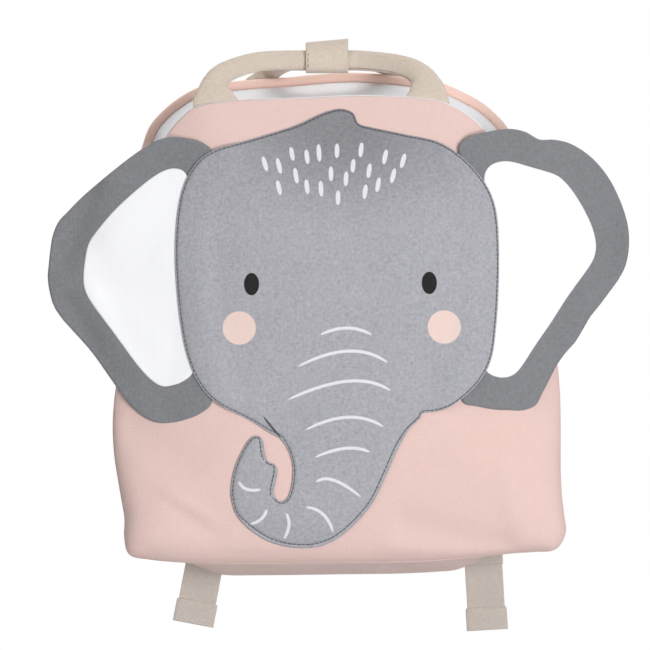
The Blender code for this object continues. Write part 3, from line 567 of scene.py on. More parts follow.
depths = np.linspace((CANVAS + GAP) / (BACK_SEAM_Y - SEAM_Y), 1, 37)
for name, node, slot, ends, count, dip, thickness, finish in (
        ("zip_cloth", "zip_band", "white_cotton", (ZIP_LEFT, ZIP_RIGHT), 331, zip_dip, 0.0012,
         white_cotton),
        ("gusset_cloth", "gusset", "pink_canvas", (ZIP_RIGHT - 1, ZIP_LEFT), 521, gusset_dip,
         0.0016, pink_by_uv)):
    shares = np.linspace(*ends, count)
    share, depth = np.meshgrid(shares, depths, indexing="ij")
    strip_uv = np.stack((share * girth, depth * (BACK_SEAM_Y - SEAM_Y)), axis=-1)
    strip = piece(name, between_seams(shares, depths, dip).reshape(-1, 3),
                  grid_faces(count, len(depths)), finish, strip_uv.reshape(-1, 2))
    wall = strip.modifiers.new("cloth", "SOLIDIFY")
    wall.thickness = thickness
    wall.offset = -1
    dress(strip, node)

# Ears
# Each ear is two layers of darker grey canvas, sewn and turned, with a white cotton panel on its
# face. Its root is caught under the head; the free part stands off the bag and waves a little.
# Light drawn across those waves is what shows that the ears are loose cloth.
EAR_CLOTH = 0.0022
EAR_BEND = 0.76
EAR_FALL = 1.05
EAR_GREY = "86878B"
EAR_GREY_SHADE = "707175"
LINING_CLOTH = 0.0007

# Folds of the ears: pixels of the two ends, half width and height in metres.
EAR_FOLDS = (
    # from x, from y, to x, to y, half width, height
    (90, 190, 62, 262, 0.0085, -0.0024), (152, 146, 112, 178, 0.01, 0.0022),
    (186, 138, 168, 166, 0.008, -0.0018), (66, 300, 112, 372, 0.006, -0.0026),
    (92, 292, 150, 402, 0.007, 0.0022), (150, 388, 168, 420, 0.006, -0.002),
    (196, 384, 190, 415, 0.0065, 0.0018), (112, 238, 152, 196, 0.0085, 0.0018),
    (140, 268, 172, 206, 0.0065, -0.0016), (112, 300, 160, 344, 0.008, 0.0016),
    (543, 138, 604, 205, 0.008, 0.002), (506, 134, 516, 162, 0.007, -0.002),
    (612, 196, 612, 270, 0.007, -0.0024), (590, 296, 545, 392, 0.007, 0.0022),
    (560, 300, 520, 376, 0.0075, -0.0016), (486, 384, 492, 408, 0.006, 0.0018),
    (516, 178, 562, 250, 0.0095, 0.0016), (530, 300, 500, 350, 0.008, 0.0013),
)


def ear_y(points):
    """Y that an ear lies against: the front as far as its bend, then straight on and a little
    back, with a wave that grows away from the head."""
    share, reach = share_of(points)
    straight = 1 - EAR_BEND ** 3 - EAR_FALL * (share - EAR_BEND)
    lie = SEAM_Y - BULGE * np.where(share < EAR_BEND, 1 - share ** 3, straight)
    free = ease((share - 0.95) / 0.30)
    wave = 0.0026 * swell(points, 0.070, 11) + folds(points, EAR_FOLDS)
    return np.minimum(lie - wave * (0.25 + 0.75 * free), front_y(points) + share ** 8 * 0.02)


def turned(inset, thickness, radius):
    """Thickness of a turned edge: a quarter round that is full one radius in from the edge."""
    return thickness * np.sqrt(1 - (1 - np.clip(inset / radius, 0.02, 1)) ** 2)


ear_canvas = woven("dark grey cotton canvas", EAR_GREY, EAR_GREY_SHADE, slub=0.30, mottle=0.5)
white_face = woven("white cotton poplin", "F4F4F6", "E9EAEE", slub=0.12, relief=0.00008)

# Layers of an ear: node, piece, slot, insets of the rows along its edge, how far its back stands
# off the line that the ear lies on, its cloth, the round of its turned edge, its finish, how it
# is held and what it lies on.
EAR_LAYERS = (
    ("ear_", "ear_canvas_", "ear_canvas", (0.0003, 0.0008, 0.0014, 0.0022, 0.0034), GAP,
     EAR_CLOTH, 0.0013, ear_canvas, "hung", "front_shell"),
    ("ear_lining_", "ear_panel_", "white_cotton", (0.0003, 0.0008, 0.0015),
     1.2 * GAP + EAR_CLOTH, LINING_CLOTH, 0.0006, white_face, "laid", "ear_canvas_"),
)
ear_edges = {}
for side in ("left", "right"):
    for node, name, slot, insets, off, cloth, round_edge, finish, held, under in EAR_LAYERS:
        edge = even(cut_line(node + side), 0.0016)
        layer = cut_cloth(
            name + side, edge, insets,
            lambda points, inset, number: ear_y(points) - off - turned(inset, cloth, round_edge),
            lambda points, inset, number: ear_y(points) - off, [finish])
        dress(layer, node + side)
        ear_edges.setdefault(side, edge)

# Head and trunk
# One piece of heathered grey canvas with a thin wadding behind it, turned in and stitched down in
# dark grey a little inside its edge. The eyes, cheeks, hair and trunk lines are screen printed.
HEAD_CLOTH = 0.0022
HEAD_WADDING = 0.0011
WADDING_RUN = 0.007
TUCK_REACH = 0.016
TUCK_START = 0.006
STITCH_INSET = 0.0012
TRUNK_RIM = 0.0012
STITCH_DENT = 0.0009
STITCH_DENT_RUN = 0.0007
HEAD_GREY = "B1B1B7"
HEAD_GREY_SHADE = "96979C"
EYES = ((251.7, 284.2), (429.0, 283.0))
EYE_HALF = (7.6, 11.2)
CHEEKS = ((239.5, 328.0), (444.0, 327.0))
CHEEK_HALF = (16.6, 16.6)
ARC_WIDTH = 3.1
DASH_WIDTH = 4.6
INK_WHITE = "E4E4E8"
INK_PINK = "E6D0C8"
INK_BLACK = "0E0E10"

# Lines over the trunk: pixels of the start, the middle and the end of each.
TRUNK_LINES = (
    # start x, start y, middle x, middle y, end x, end y
    (320, 335, 347, 328, 372, 335), (297, 367, 348, 351, 388, 363),
    (287, 400, 348, 381, 391, 391), (305, 430, 348, 417, 384, 427),
    (315, 457, 346, 448, 370, 452), (316, 482, 334, 480, 361, 497),
    (306, 507, 323, 514, 333, 532), (286, 513, 289, 525, 284, 539),
    (267, 509, 261, 519, 250, 524), (239, 481, 247, 489, 261, 489),
)
# The slit where the trunk's own edge runs up over the chin, in pixels like the lines. It is printed
# dark grey: painted shade of the fold gap there, together with the stitch line that runs into it.
SLIT = (263.5, 416.0, 271.5, 426.5, 281.5, 438.0)
SLIT_WIDTH = 2.4
# Painted shade: the canvas colour is darkened towards the crown, where the top of the head turns
# back from the light: pixels of the crown's middle and of where it begins.
CROWN = (346, 128)
CROWN_FROM = 238
CROWN_HALF = 150
CROWN_PAINTED_SHADE = 0.60
# Hair: pixels of the middle of each printed stroke and its length.
HAIR = (
    # x, y, length
    (265, 164, 15), (279, 166, 16), (292, 154, 14), (307, 157, 15), (319, 153, 18),
    (337, 151, 15), (361, 150, 15), (385, 157, 15), (403, 161, 15), (296, 176, 16),
    (331, 174, 15), (346, 179, 15), (353, 166, 14), (369, 171, 15), (393, 176, 15),
    (279, 188, 15), (307, 187, 15), (321, 189, 16), (338, 198, 15), (365, 192, 15),
    (378, 185, 15),
)
HAIR_MIDDLE = 335
HAIR_LEAN = 0.0042

head_edge = even(cut_line("head"), 0.0012)
head_out = -inward(head_edge)
chin = spot((330, 418))[1]
trunk_side = (ease((chin - head_edge[:, 1]) / 0.02)
              * ease((head_out @ np.array((0.55, -0.83)) + 0.15) / 0.5))
head_rim = STITCH_INSET + TRUNK_RIM * trunk_side


def head_base(points):
    """Y that the head lies on: the front, and near an ear the ear's own face."""
    rise = np.zeros(len(points))
    for edge in ear_edges.values():
        distance, number, inside = near(edge, points)
        reach = np.where(inside, 0, np.maximum(distance - TUCK_START, 0)) / TUCK_REACH
        rise = np.maximum(rise, ease(1 - reach))
    over_ear = ear_y(points) - EAR_CLOTH - LINING_CLOTH
    return (front_y(points) * (1 - rise) + over_ear * rise) - 2 * GAP


def head_face(points, inset, number):
    """Outer face of the head: the turned edge, a dent along the stitches, and the wadding's
    swell that comes up inside them."""
    rim = head_rim[number]
    dent = STITCH_DENT * np.exp(-((inset - rim) / STITCH_DENT_RUN) ** 2)
    swelled = HEAD_WADDING * (1 - np.exp(-np.maximum(inset - rim, 0) / WADDING_RUN))
    return head_base(points) - turned(inset, HEAD_CLOTH * 0.8, 0.0010) + dent - swelled


def oval(middle, half, count=48):
    """Loop of an ellipse round a pixel, with its two half sizes in pixels."""
    turn = full_turn(count)
    return spot(np.column_stack((np.cos(turn), -np.sin(turn))) * half + middle)


def stroke(line, width, taper):
    """Loop round a line of pixels: half the width to each side, less towards its round ends."""
    line = np.asarray(line, float)
    tangent = unit(np.gradient(line, axis=0))
    side = np.column_stack((-tangent[:, 1], tangent[:, 0]))
    share = np.linspace(-1, 1, len(line))
    half = (width / 2 * (1 - np.abs(share) ** taper) ** 0.5)[:, None]
    loop = np.vstack((line + side * half, (line - side * half)[-2:0:-1]))
    return spot(loop)


def bow(x0, y0, x1, y1, x2, y2, count=25):
    """Parabola of pixels from a start through a middle point to an end."""
    t = np.linspace(0, 1, count)[:, None]
    start, middle, stop = (np.array(p, float) for p in ((x0, y0), (x1, y1), (x2, y2)))
    return start * (1 - t) * (1 - 2 * t) + 4 * middle * t * (1 - t) + stop * t * (2 * t - 1)


prints = [(stroke(bow(*line), ARC_WIDTH, 6), 1) for line in TRUNK_LINES]
for x, y, length in HAIR:
    lean = np.array((-math.sin((HAIR_MIDDLE - x) * HAIR_LEAN), -1.0)) * length / 2
    t = np.linspace(-1, 1, 13)[:, None]
    prints.append((stroke(np.array((x, y)) - lean * t, DASH_WIDTH, 2.6), 1))
prints += [(oval(middle, CHEEK_HALF), 2) for middle in CHEEKS]
prints += [(oval(middle, EYE_HALF), 3) for middle in EYES]
# Painted shade: the slit is a dark print that stands for the fold gap's shade and its stitch line.
prints.append((stroke(bow(*SLIT), SLIT_WIDTH, 2.0), 4))


def printed(name, light, dark):
    """Screen ink on the canvas: it sits in the weave, so the thread shows through it."""
    return woven(name, light, dark, slub=0.16, relief=0.00010)


head_canvas = woven("heathered grey cotton canvas with painted crown shade", HEAD_GREY, HEAD_GREY_SHADE, slub=0.42)
head_tree = head_canvas.node_tree
head_shader = head_tree.nodes["Principled BSDF"]
head_tone = head_shader.inputs["Base Color"].links[0].from_socket
# Painted shade: the head canvas colour is multiplied darker towards the crown and its middle, for
# the top of the head turning from the light.
low, high = spot((CROWN[0], CROWN_FROM))[1], spot(CROWN)[1]
crown_x = float(spot(CROWN)[0])
place_of = add(head_tree, "TexCoord")
split = add(head_tree, "SeparateXYZ", inputs={0: place_of.outputs["Object"]})
rise = add(head_tree, "MapRange", {"interpolation_type": "SMOOTHSTEP"},
           {0: split.outputs[2], 1: float(low), 2: float(high), 3: 0.0, 4: 1.0})
off = add(head_tree, "Math", {"operation": "SUBTRACT"}, {0: split, 1: crown_x})
aside = add(head_tree, "Math", {"operation": "ABSOLUTE"}, {0: off})
within = add(head_tree, "MapRange", {"interpolation_type": "SMOOTHSTEP"},
             {0: aside, 1: CROWN_HALF * PIXEL, 2: 0.0, 3: 0.25, 4: 1.0})
share = add(head_tree, "Math", {"operation": "MULTIPLY"}, {0: rise, 1: within})
crown = add(head_tree, "Mix", {"data_type": "RGBA", "blend_type": "MULTIPLY"},
            {0: share, 6: head_tone, 7: (CROWN_PAINTED_SHADE,) * 3 + (1.0,)})
feed(head_shader, {"Base Color": crown.outputs[2]})
head_finishes = [head_canvas, printed("white screen ink", INK_WHITE, "D2D2D8"),
                 printed("pink screen ink", INK_PINK, "DCC2BA"),
                 printed("black screen ink", INK_BLACK, "0A0A0B"),
                 printed("painted slit shade with dark grey thread", "5A5B60", "46474B")]
head_insets = [0.0003, 0.0007, head_rim - 0.0004, head_rim, head_rim + 0.0004,
               head_rim + 0.0010, head_rim + 0.0020]
head = cut_cloth("head_canvas", head_edge, head_insets, head_face,
                 lambda points, inset, number: head_base(points), head_finishes, prints,
                 step=0.0022)
dress(head, "head")

# Piping
# A cotton cord in a bias strip of peach canvas, sewn into the back seam over the top. It is a
# little uneven where the strip is drawn tight round its cord.
PIPING_PEACH = "F4D3C6"
PIPING_SHADE = "EAC6B9"
PIPING_RADIUS = (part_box("piping")[1].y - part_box("piping")[0].y) / 2


def face_out(made):
    """Turn the faces of a closed mesh outwards."""
    work = bmesh.new()
    work.from_mesh(made.data)
    bmesh.ops.recalc_face_normals(work, faces=work.faces)
    work.to_mesh(made.data)
    work.free()


bias_strip = woven("peach canvas cut on the bias", PIPING_PEACH, PIPING_SHADE, slub=0.2,
                   by_uv=True, turn=math.pi / 4)


def ways_at(line, across):
    """Unit ways at each point of a line: across it, and square to both."""
    tangent = unit(np.gradient(line, axis=0))
    across = unit(across - (across * tangent).sum(1)[:, None] * tangent)
    return across, np.cross(tangent, across)


def tube(line, across, breadth, cloth, sides, power=2.0):
    """Sections round a line: breadth lies along the across way and cloth square to it; a power
    over 2 makes the oval squarer. Each is a superellipse, read by its angle."""
    across, third = ways_at(line, across)
    turn = full_turn(sides)
    reach = (np.abs(np.cos(turn)) ** power + np.abs(np.sin(turn)) ** power) ** (-1 / power)
    return (line[:, None]
            + across[:, None] * (np.reshape(breadth, (-1, 1)) / 2 * np.cos(turn) * reach)[..., None]
            + third[:, None] * (np.reshape(cloth, (-1, 1)) / 2 * np.sin(turn) * reach)[..., None])


def squared(turn, power):
    """Across and up of a squared circle: the cosine and the sine, each with its size raised to a
    power below one."""
    return [np.sign(wave) * np.abs(wave) ** power for wave in (np.cos(turn), np.sin(turn))]


def tube_piece(name, sections, finish):
    """A mesh from closed sections, with metres along and round as its cloth coordinates."""
    count, sides = sections.shape[:2]
    wrapped = np.concatenate((sections, sections[:, :1]), axis=1)
    around = np.linalg.norm(np.diff(wrapped, axis=1), axis=2).mean(0)
    v = np.concatenate(([0], np.cumsum(around)))[:sides]
    middle = sections.mean(1)
    u = metres_along(middle)
    faces = grid_faces(count, sides, round_columns=True)[:, ::-1].tolist()
    points = sections.reshape(-1, 3)
    uv = np.stack(np.meshgrid(u, v, indexing="ij"), axis=-1).reshape(-1, 2)
    faces += [list(range(sides)), list(range((count - 1) * sides, count * sides))[::-1]]
    made = piece(name, points, faces, finish, uv)
    face_out(made)
    return made


shares = np.linspace(ZIP_LEFT, ZIP_RIGHT, 300)
along = np.arange(SEAM_COUNT) / SEAM_COUNT
seam_line = back_seam + inward(back_seam) * (PIPING_RADIUS + GAP)
piped = stood(read_at(shares, along, seam_line), BACK_SEAM_Y)
drawn = 1 + 0.035 * np.sin(shares * girth / 0.0042) * np.sin(shares * girth / 0.019)
piping = tube_piece("piping_cord", tube(piped, np.tile((0.0, 1.0, 0.0), (300, 1)),
                                        2 * PIPING_RADIUS * drawn, 2 * PIPING_RADIUS * drawn, 20),
                    bias_strip)
dress(piping, "piping")

# Zip
# A white nylon coil zip lies in the dip of the band, with a small painted slider at its left end
# and its pull laid along the coil.
TOOTH_STEP = 0.0016
COIL_HALF = 0.0026
COIL_WIRE = 0.00055

nylon = speckled("white nylon coil", "DFE0E3", "F0F1F3", 900.0, 2.0, 0.42)


def band_point(shares, depths, lift):
    """Points over the zip band at matching shares and depths, lifted square off the cloth."""
    grid = between_seams(shares, np.array([0.45, 0.5, 0.55]), zip_dip)
    along_way = np.gradient(grid[:, 1], axis=0)
    across_way = grid[:, 2] - grid[:, 0]
    off = unit(np.cross(across_way, along_way))
    side = unit(across_way)
    return grid[:, 1] + side * np.reshape(depths, (-1, 1)) + off * np.reshape(lift, (-1, 1))


margin = 0.012 / girth
chain_shares = np.linspace(ZIP_LEFT + margin, ZIP_RIGHT - margin, 200)
lifted = band_point(chain_shares, 0, 0.001) - band_point(chain_shares, 0, 0)
OUT = 1 if lifted[len(lifted) // 2, 2] > 0 else -1
turns = int((chain_shares[-1] - chain_shares[0]) * girth / TOOTH_STEP)
phase = np.linspace(0, 2 * math.pi * turns, turns * 12 + 1)
coil_shares = np.interp(phase, (0, phase[-1]), (chain_shares[0], chain_shares[-1]))
coil_mesh = tube(band_point(coil_shares, COIL_HALF * np.sin(phase),
                            OUT * (0.0011 + 0.00045 * np.cos(phase))),
                 np.tile((0.3, 0.2, 1.0), (len(phase), 1)), 2 * COIL_WIRE, 2 * COIL_WIRE, 5)
coil = tube_piece("zip_coil", coil_mesh, nylon)
dress(coil, "zip_chain")

painted = speckled("white enamelled zinc", "CFCFD2", "E6E6E8", 260.0, 4.0, 0.32, coat=0.3)


def pressed(name, shares, lift, breadth, height):
    """A small cast part of the slider: squared sections along the coil, lifted off it."""
    line = band_point(shares, 0, OUT * lift)
    made = tube_piece(name, tube(line, np.array((0.0, 1.0, 0.0)), breadth, height, 24, 4.0),
                      painted)
    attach(made, "root")
    return made


slider_at = ZIP_LEFT + 0.027
slider_shares = slider_at + np.linspace(-0.5, 0.5, 21) * 0.0105 / girth
swollen = np.sqrt(1 - np.linspace(-1, 1, 21) ** 6 * 0.9)
plate = pressed("slider_plate", slider_shares, 0.0022, 0.0080 * swollen, 0.0012)
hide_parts("zip_slider")
pressed("slider_crown", slider_shares, 0.0036, 0.0080 * 0.62 * swollen, 0.0011)
pull_shares = slider_at + np.linspace(0.15, 1.0, 40) * 0.026 / girth
run = np.linspace(0, 1, 40)
pull_wide = 0.0030 + 0.0018 * ease((run - 0.2) / 0.5)
pull_wide = pull_wide * np.sqrt(1 - np.clip((run - 0.88) / 0.12, 0, 0.98) ** 2)
pressed("slider_pull", pull_shares, 0.0052 - 0.0022 * ease(run * 3), pull_wide, 0.0011)

# Handles
# Two grab handles of beige canvas, rolled round a cord in the hand and flat at their sewn ends:
# the front one stands in the front seam, the back one is sewn on the back panel. A band of the
# same canvas is wrapped round both and stitched; its loose end stands up on top.
HANDLE_TUBE = 0.0126
HANDLE_CLEAR = 0.0007
HANDLE_SPAN = 0.1355
BACK_HANDLE_SPAN = 0.1000
HANDLE_MIDDLE = -0.0082
HANDLE_BASE_CLOTH = 0.0030
HANDLE_TUCK = 0.0020
BACK_TAB = 0.022
BEIGE = "D4C6B9"
BEIGE_SHADE = "C2B5A6"

# Sections: along is a share of the span, rise runs from 0 at the bag's top edge to 1 at the wrap
# (below 0 it is a share of the tab), breadth and cloth are shares of the tube, lean runs from 0
# over the seam to 1 at the crest.
FRONT_HANDLE = (
    # along, rise, breadth, cloth, lean
    (-0.5, 0, 2.4, 0.24, 0), (-0.506, 0.2, 2.1, 0.3, 0.06), (-0.503, 0.465, 1.42, 0.62, 0.2),
    (-0.469, 0.674, 1.14, 0.86, 0.38), (-0.394, 0.837, 1.04, 0.98, 0.6),
    (-0.29, 0.965, 1, 1, 0.84), (-0.16, 1, 1, 1, 1), (-0.05, 1, 1, 1, 1), (0.08, 1, 1, 1, 1),
    (0.18, 1, 1, 1, 1), (0.332, 0.91, 1.02, 1, 0.74), (0.424, 0.78, 1.1, 0.94, 0.5),
    (0.474, 0.605, 1.28, 0.76, 0.32), (0.495, 0.4, 1.7, 0.48, 0.16),
    (0.502, 0.2, 2.1, 0.3, 0.06), (0.5, 0, 2.38, 0.24, 0),
)
BACK_HANDLE = (
    (-0.47, -1, 1.5, 0.24, 0), (-0.47, -0.3, 1.5, 0.24, 0), (-0.445, 0.15, 1.25, 0.24, -0.04),
    (-0.39, 0.42, 1.1, 0.32, -0.12), (-0.335, 0.68, 1, 0.6, -0.06),
    (-0.275, 0.88, 1, 0.9, 0.36), (-0.22, 0.98, 1, 1, 0.8), (-0.175, 1, 1, 1, 1),
    (0.08, 1, 1, 1, 1), (0.235, 1, 1, 1, 1), (0.35, 1, 1, 1, 0.42),
    (0.44, 0.86, 1.08, 0.6, -0.06), (0.49, 0.6, 1.3, 0.32, -0.12),
    (0.505, 0.2, 1.6, 0.24, -0.04), (0.5, -0.3, 1.7, 0.24, 0), (0.5, -1, 1.7, 0.24, 0),
)

wrap_low, wrap_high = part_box("handle_wrap")
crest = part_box("handle_front")[1].z - HANDLE_TUBE / 2
beige_canvas = woven("beige cotton canvas", BEIGE, BEIGE_SHADE, slub=0.35, by_uv=True)


def top_edge(loop, x):
    """Height of a body outline's top edge at x."""
    top = loop[loop[:, 1] > loop[:, 1].mean()]
    top = top[np.argsort(top[:, 0])]
    return np.interp(x, top[:, 0], top[:, 1])


def handle(name, node, table, span, seam, foot, crest_y):
    """A rolled handle: its line runs from a flat base up over the crest and down to the other
    base; the roll is drawn in and out by a few soft creases where it bends."""
    rows = even(table, 0.004, closed=False)
    columns = np.minimum(rows, (1, 1, 9, 9, 1)).T
    count = 260
    read = np.linspace(0, 1, count)
    along, rise, breadth, cloth, lean = (np.interp(read, np.linspace(0, 1, len(rows)), column)
                                         for column in columns)
    x = HANDLE_MIDDLE + along * span
    edge = top_edge(seam, x) - HANDLE_TUCK
    z = edge + np.where(rise > 0, rise * (crest - edge), rise * BACK_TAB)
    line = np.column_stack((x, foot + (crest_y - foot) * lean, z))
    across = np.cross(np.gradient(line, axis=0), (0, 1, 0))
    bend = np.clip(1.06 - rise, 0, 1) * np.clip(rise * 3, 0, 1)
    sections = tube(line, across, breadth * HANDLE_TUBE, cloth * HANDLE_TUBE, 48, 2.4)
    turn = full_turn(48)
    crease = (np.sin(read[:, None] * 95 + 2 * np.sin(turn) + np.cos(read * 31)[:, None])
              * np.cos(turn + 0.7) * bend[:, None])
    middle = line[:, None]
    sections = middle + (sections - middle) * (1 - 0.050 * np.abs(crease))[..., None]
    made = tube_piece(name, sections, beige_canvas)
    dress(made, node)
    return sections


aside = (HANDLE_TUBE + HANDLE_CLEAR) / 2
grip = handle("grab_handle_front", "handle_front", FRONT_HANDLE, HANDLE_SPAN, body_edge,
              SEAM_Y + CANVAS + GAP + HANDLE_BASE_CLOTH / 2, -aside)
handle("grab_handle_back", "handle_back", BACK_HANDLE, BACK_HANDLE_SPAN, back_edge,
       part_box("back_panel")[1].y + GAP + HANDLE_BASE_CLOTH / 2, aside)

WRAP_CLOTH = 0.0014
WRAP_SLANT = 0.10


def wrap_section(inset, x):
    """The band's section at x: a squared oval round both handles, its loose top higher towards
    +X; inset moves it in by the cloth."""
    turn = np.linspace(0, 2 * math.pi, 72, endpoint=False)
    half_y = (wrap_high.y - wrap_low.y) / 2 - inset
    half_z = (wrap_high.z - wrap_low.z - 0.0014) / 2 - inset
    aside, up = squared(turn, 0.45)
    z = wrap_low.z + half_z + inset + half_z * up
    top = np.clip((z - crest) / (wrap_high.z - crest), 0, 1)
    x_middle = (wrap_low.x + wrap_high.x) / 2
    z = z + top * (x - x_middle) * WRAP_SLANT - 0.0008 * top * np.cos(turn * 2)
    return np.column_stack((np.full(72, x), half_y * aside, z))


wrap_rows = np.array([
    wrap_section(inset, x) for inset, begin, end, count in
    ((0.0004, wrap_low.x, wrap_low.x, 1), (0.0, wrap_low.x + 0.0004, wrap_high.x - 0.0004, 24),
     (0.0004, wrap_high.x, wrap_high.x, 1),
     (WRAP_CLOTH, wrap_high.x - 0.0002, wrap_low.x + 0.0002, 24))
    for x in np.linspace(begin, end, count)])
rows, sides = wrap_rows.shape[:2]
wrap_uv = np.stack(np.meshgrid(np.linspace(0, 0.058, rows), np.linspace(0, 0.08, sides),
                               indexing="ij"), axis=-1).reshape(-1, 2)
wrap = piece("handle_band", wrap_rows.reshape(-1, 3),
             grid_faces(rows, sides, round_rows=True, round_columns=True), beige_canvas, wrap_uv)
face_out(wrap)
dress(wrap, "handle_wrap")

# Back panel
# Two layers of pink canvas with foam between, quilted in upright channels and bound into the back
# seam. The stitching pulls each channel into a shallow valley.
CHANNEL = 0.034
CHANNEL_DEPTH = 0.0022
back_low, back_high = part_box("back_panel")


def channel(points):
    """How deep a quilting line pulls the cloth: a narrow bell round each channel's edge."""
    across = (points[:, 0] - BODY_MIDDLE[0]) / CHANNEL + 0.5
    off = np.abs(across - np.round(across)) * CHANNEL
    return np.exp(-(off / 0.0030) ** 1.3)


def back_y(points, inset, number):
    """Outer face of the back: foam between the quilting lines, flat at the bound edge."""
    full = ease((inset - 0.004) / 0.018)
    puff = CHANNEL_DEPTH * (1 - channel(points)) * ease((inset - 0.010) / 0.012)
    return (back_high.y - 0.0012 + puff + 0.0006 * swell(points, 0.06, 23) * full
            - turned(0.004 - inset, 0.0026, 0.004) * (inset < 0.004))


back_panel = cut_cloth("back_quilt", back_edge, (0.0006, 0.0014, 0.0024, 0.0036),
                       lambda points, inset, number: np.full(len(points), back_low.y),
                       back_y, [pink_canvas])
dress(back_panel, "back_panel")

# Stitching
# Lockstitch in matched polyester: each stitch is a short thread that dives in at both ends.
# Length of a stitch, cloth between two stitches and half the thread, of each kind of seam.
TOPSTITCH = (0.0030, 0.0010, 0.00028)
HEAD_STITCH = (0.0026, 0.0003, 0.00042)
CLOSING_STITCH = (0.0015, 0.0003, 0.00036)
WRAP_STITCH = (0.0022, 0.0008, 0.00026)
HEM_STITCH = (0.0028, 0.0008, 0.00026)


def stitches(name, line, out, sewn, finish):
    """Stitches along a line of points: each is a row of five-sided rings whose height over the
    cloth is half a sine, so that it is buried at its ends; out is the way out of the cloth."""
    length, spare, thread = sewn
    along = metres_along(line)
    count = max(1, int(along[-1] / (length + spare)))
    start = (np.arange(count) + 0.5) * along[-1] / count - length / 2
    share = np.linspace(0, 1, 7)
    wanted = (start[:, None] + share * length).ravel()
    spots = read_at(wanted, along, line)
    ways = read_at(wanted, along, np.broadcast_to(out, line.shape))
    tangent = read_at(wanted + 0.0002, along, line) - read_at(wanted - 0.0002, along, line)
    tangent /= np.maximum(np.linalg.norm(tangent, axis=1), 1e-12)[:, None]
    side = unit(np.cross(tangent, ways))
    high = np.tile(np.sin(math.pi * share), count)[:, None]
    centre = spots + ways * thread * (1.1 * high - 0.5)
    turn = full_turn(5)
    rings = (centre[:, None] + side[:, None] * (np.cos(turn) * thread)[:, None]
             + ways[:, None] * (np.sin(turn) * thread)[:, None])
    one = grid_faces(7, 5, round_columns=True)
    faces = (one[None] + (np.arange(count) * 35)[:, None, None]).reshape(-1, 4).tolist()
    first = np.arange(count)[:, None] * 35
    faces += (first + np.arange(5)[::-1]).tolist() + (first + 30 + np.arange(5)).tolist()
    made = piece(name, rings.reshape(-1, 3), faces, finish)
    face_out(made)
    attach(made, "root")
    return made


def sewing_thread(colour, light, dark):
    """Polyester thread: two plies twisted, with a soft gloss."""
    return speckled(colour + " polyester thread", dark, light, 1400.0, 1.0, 0.55)


grey_thread = sewing_thread("dark grey", "4E4F54", "36373B")
pink_thread = sewing_thread("pink", "E9CFC7", "CFAEA5")
dark_beige_thread = sewing_thread("dark beige", "9A8D7E", "7C7064")
beige_thread = sewing_thread("beige", "D8CDBF", "B8AC9D")
white_thread = sewing_thread("white", "F4F4F5", "DCDCDF")

for number in range(-3, 4):
    x = BODY_MIDDLE[0] + number * CHANNEL
    column = np.column_stack((np.full(400, x), np.linspace(back_low.z, back_high.z, 400)))
    distance, nearest, inside = near(back_edge, column)
    column = column[inside & (distance > 0.010)]
    if len(column) > 20:
        line = stood(column, back_y(column, np.full(len(column), 0.05), None))
        stitches(f"quilt_stitches_{number + 4}", line, (0, 1, 0), TOPSTITCH, pink_thread)

rim_line = head_edge + inward(head_edge) * head_rim[:, None]
distance, nearest, inside = near(head_edge, rim_line)
clear = distance > 0.9 * head_rim
rim_line = np.vstack((rim_line[clear], rim_line[clear][:1]))
number = near(head_edge, rim_line)[1]
rim_y = head_face(rim_line, head_rim[number], number)
stitches("head_stitches", stood(rim_line, rim_y), (0, -1, 0),
         HEAD_STITCH, grey_thread)

for name, depth in (("front", -0.0095), ("back", 0.0095)):
    line = band_point(chain_shares, depth, 0)
    way = (band_point(chain_shares, depth, OUT * 0.001) - line) / 0.001
    stitches(f"zip_stitches_{name}", line, way, TOPSTITCH, white_thread)

# The roll of the front handle is closed along its underside, where the cut edges are frayed. Its
# dark thread is drawn only on the right half, where it is partly painted shadow under the handle's
# lower edge.
middle = grip.mean(1)
under = ((grip - middle[:, None]) @ np.array((0, -0.62, -0.78))).argmax(1)
shadowed_span = (middle[:, 0] > wrap_high.x - 0.002) & (middle[:, 0] < spot((421, 0))[0])
closing = grip[np.arange(len(grip)), under][shadowed_span]
way = closing - middle[shadowed_span]
stitches("handle_stitches", closing, unit(way), CLOSING_STITCH, dark_beige_thread)
for name, x in (("left", wrap_low.x + 0.0016), ("right", wrap_high.x - 0.0016)):
    z = np.linspace(wrap_low.z + 0.0024, crest + 0.0050, 60)
    line = np.column_stack((np.full(60, x), np.full(60, wrap_low.y), z))
    stitches(f"wrap_stitches_{name}", line, (0, -1, 0), WRAP_STITCH,
             dark_beige_thread if name == "left" else beige_thread)

# Shoulder straps
# Each is a foam pad in pink canvas, bound and topstitched, sewn to the back's top. It narrows to a
# folded end round a moulded ring; webbing from the back's lower edge runs over the ring to a tail.
STRAP_WIDTH = 0.046
STRAP_PAD = 0.0060
STRAP_LENGTH = 0.190
STRAP_TOP_DROP = 0.032
STRAP_SPREAD = 0.088
STRAP_STAND = 0.034
STRAP_BORDER = 0.0042
WEBBING_WIDTH = 0.0246
WEBBING_CLOTH = 0.0013
TAIL_SPREAD = 0.1843
TAIL_SHIFT = 0.0031
TAIL_DROP = 0.0335
TAIL_EXTRAS = {"left": 0.0, "right": 0.0040}
TAIL_LEANS = {"left": 0.19, "right": 0.06}
TAIL_HEM = 0.0150
TAIL_HEM_SPARE = 0.0012
ANCHOR_RISE = 0.030
RING_BAR = 0.0034
RING_WINDOW = 0.0110
RING_ROOM = 0.0012
WEBBING = "CCC4BC"
WEBBING_SHADE = "B2A9A1"
RIB = 0.0011

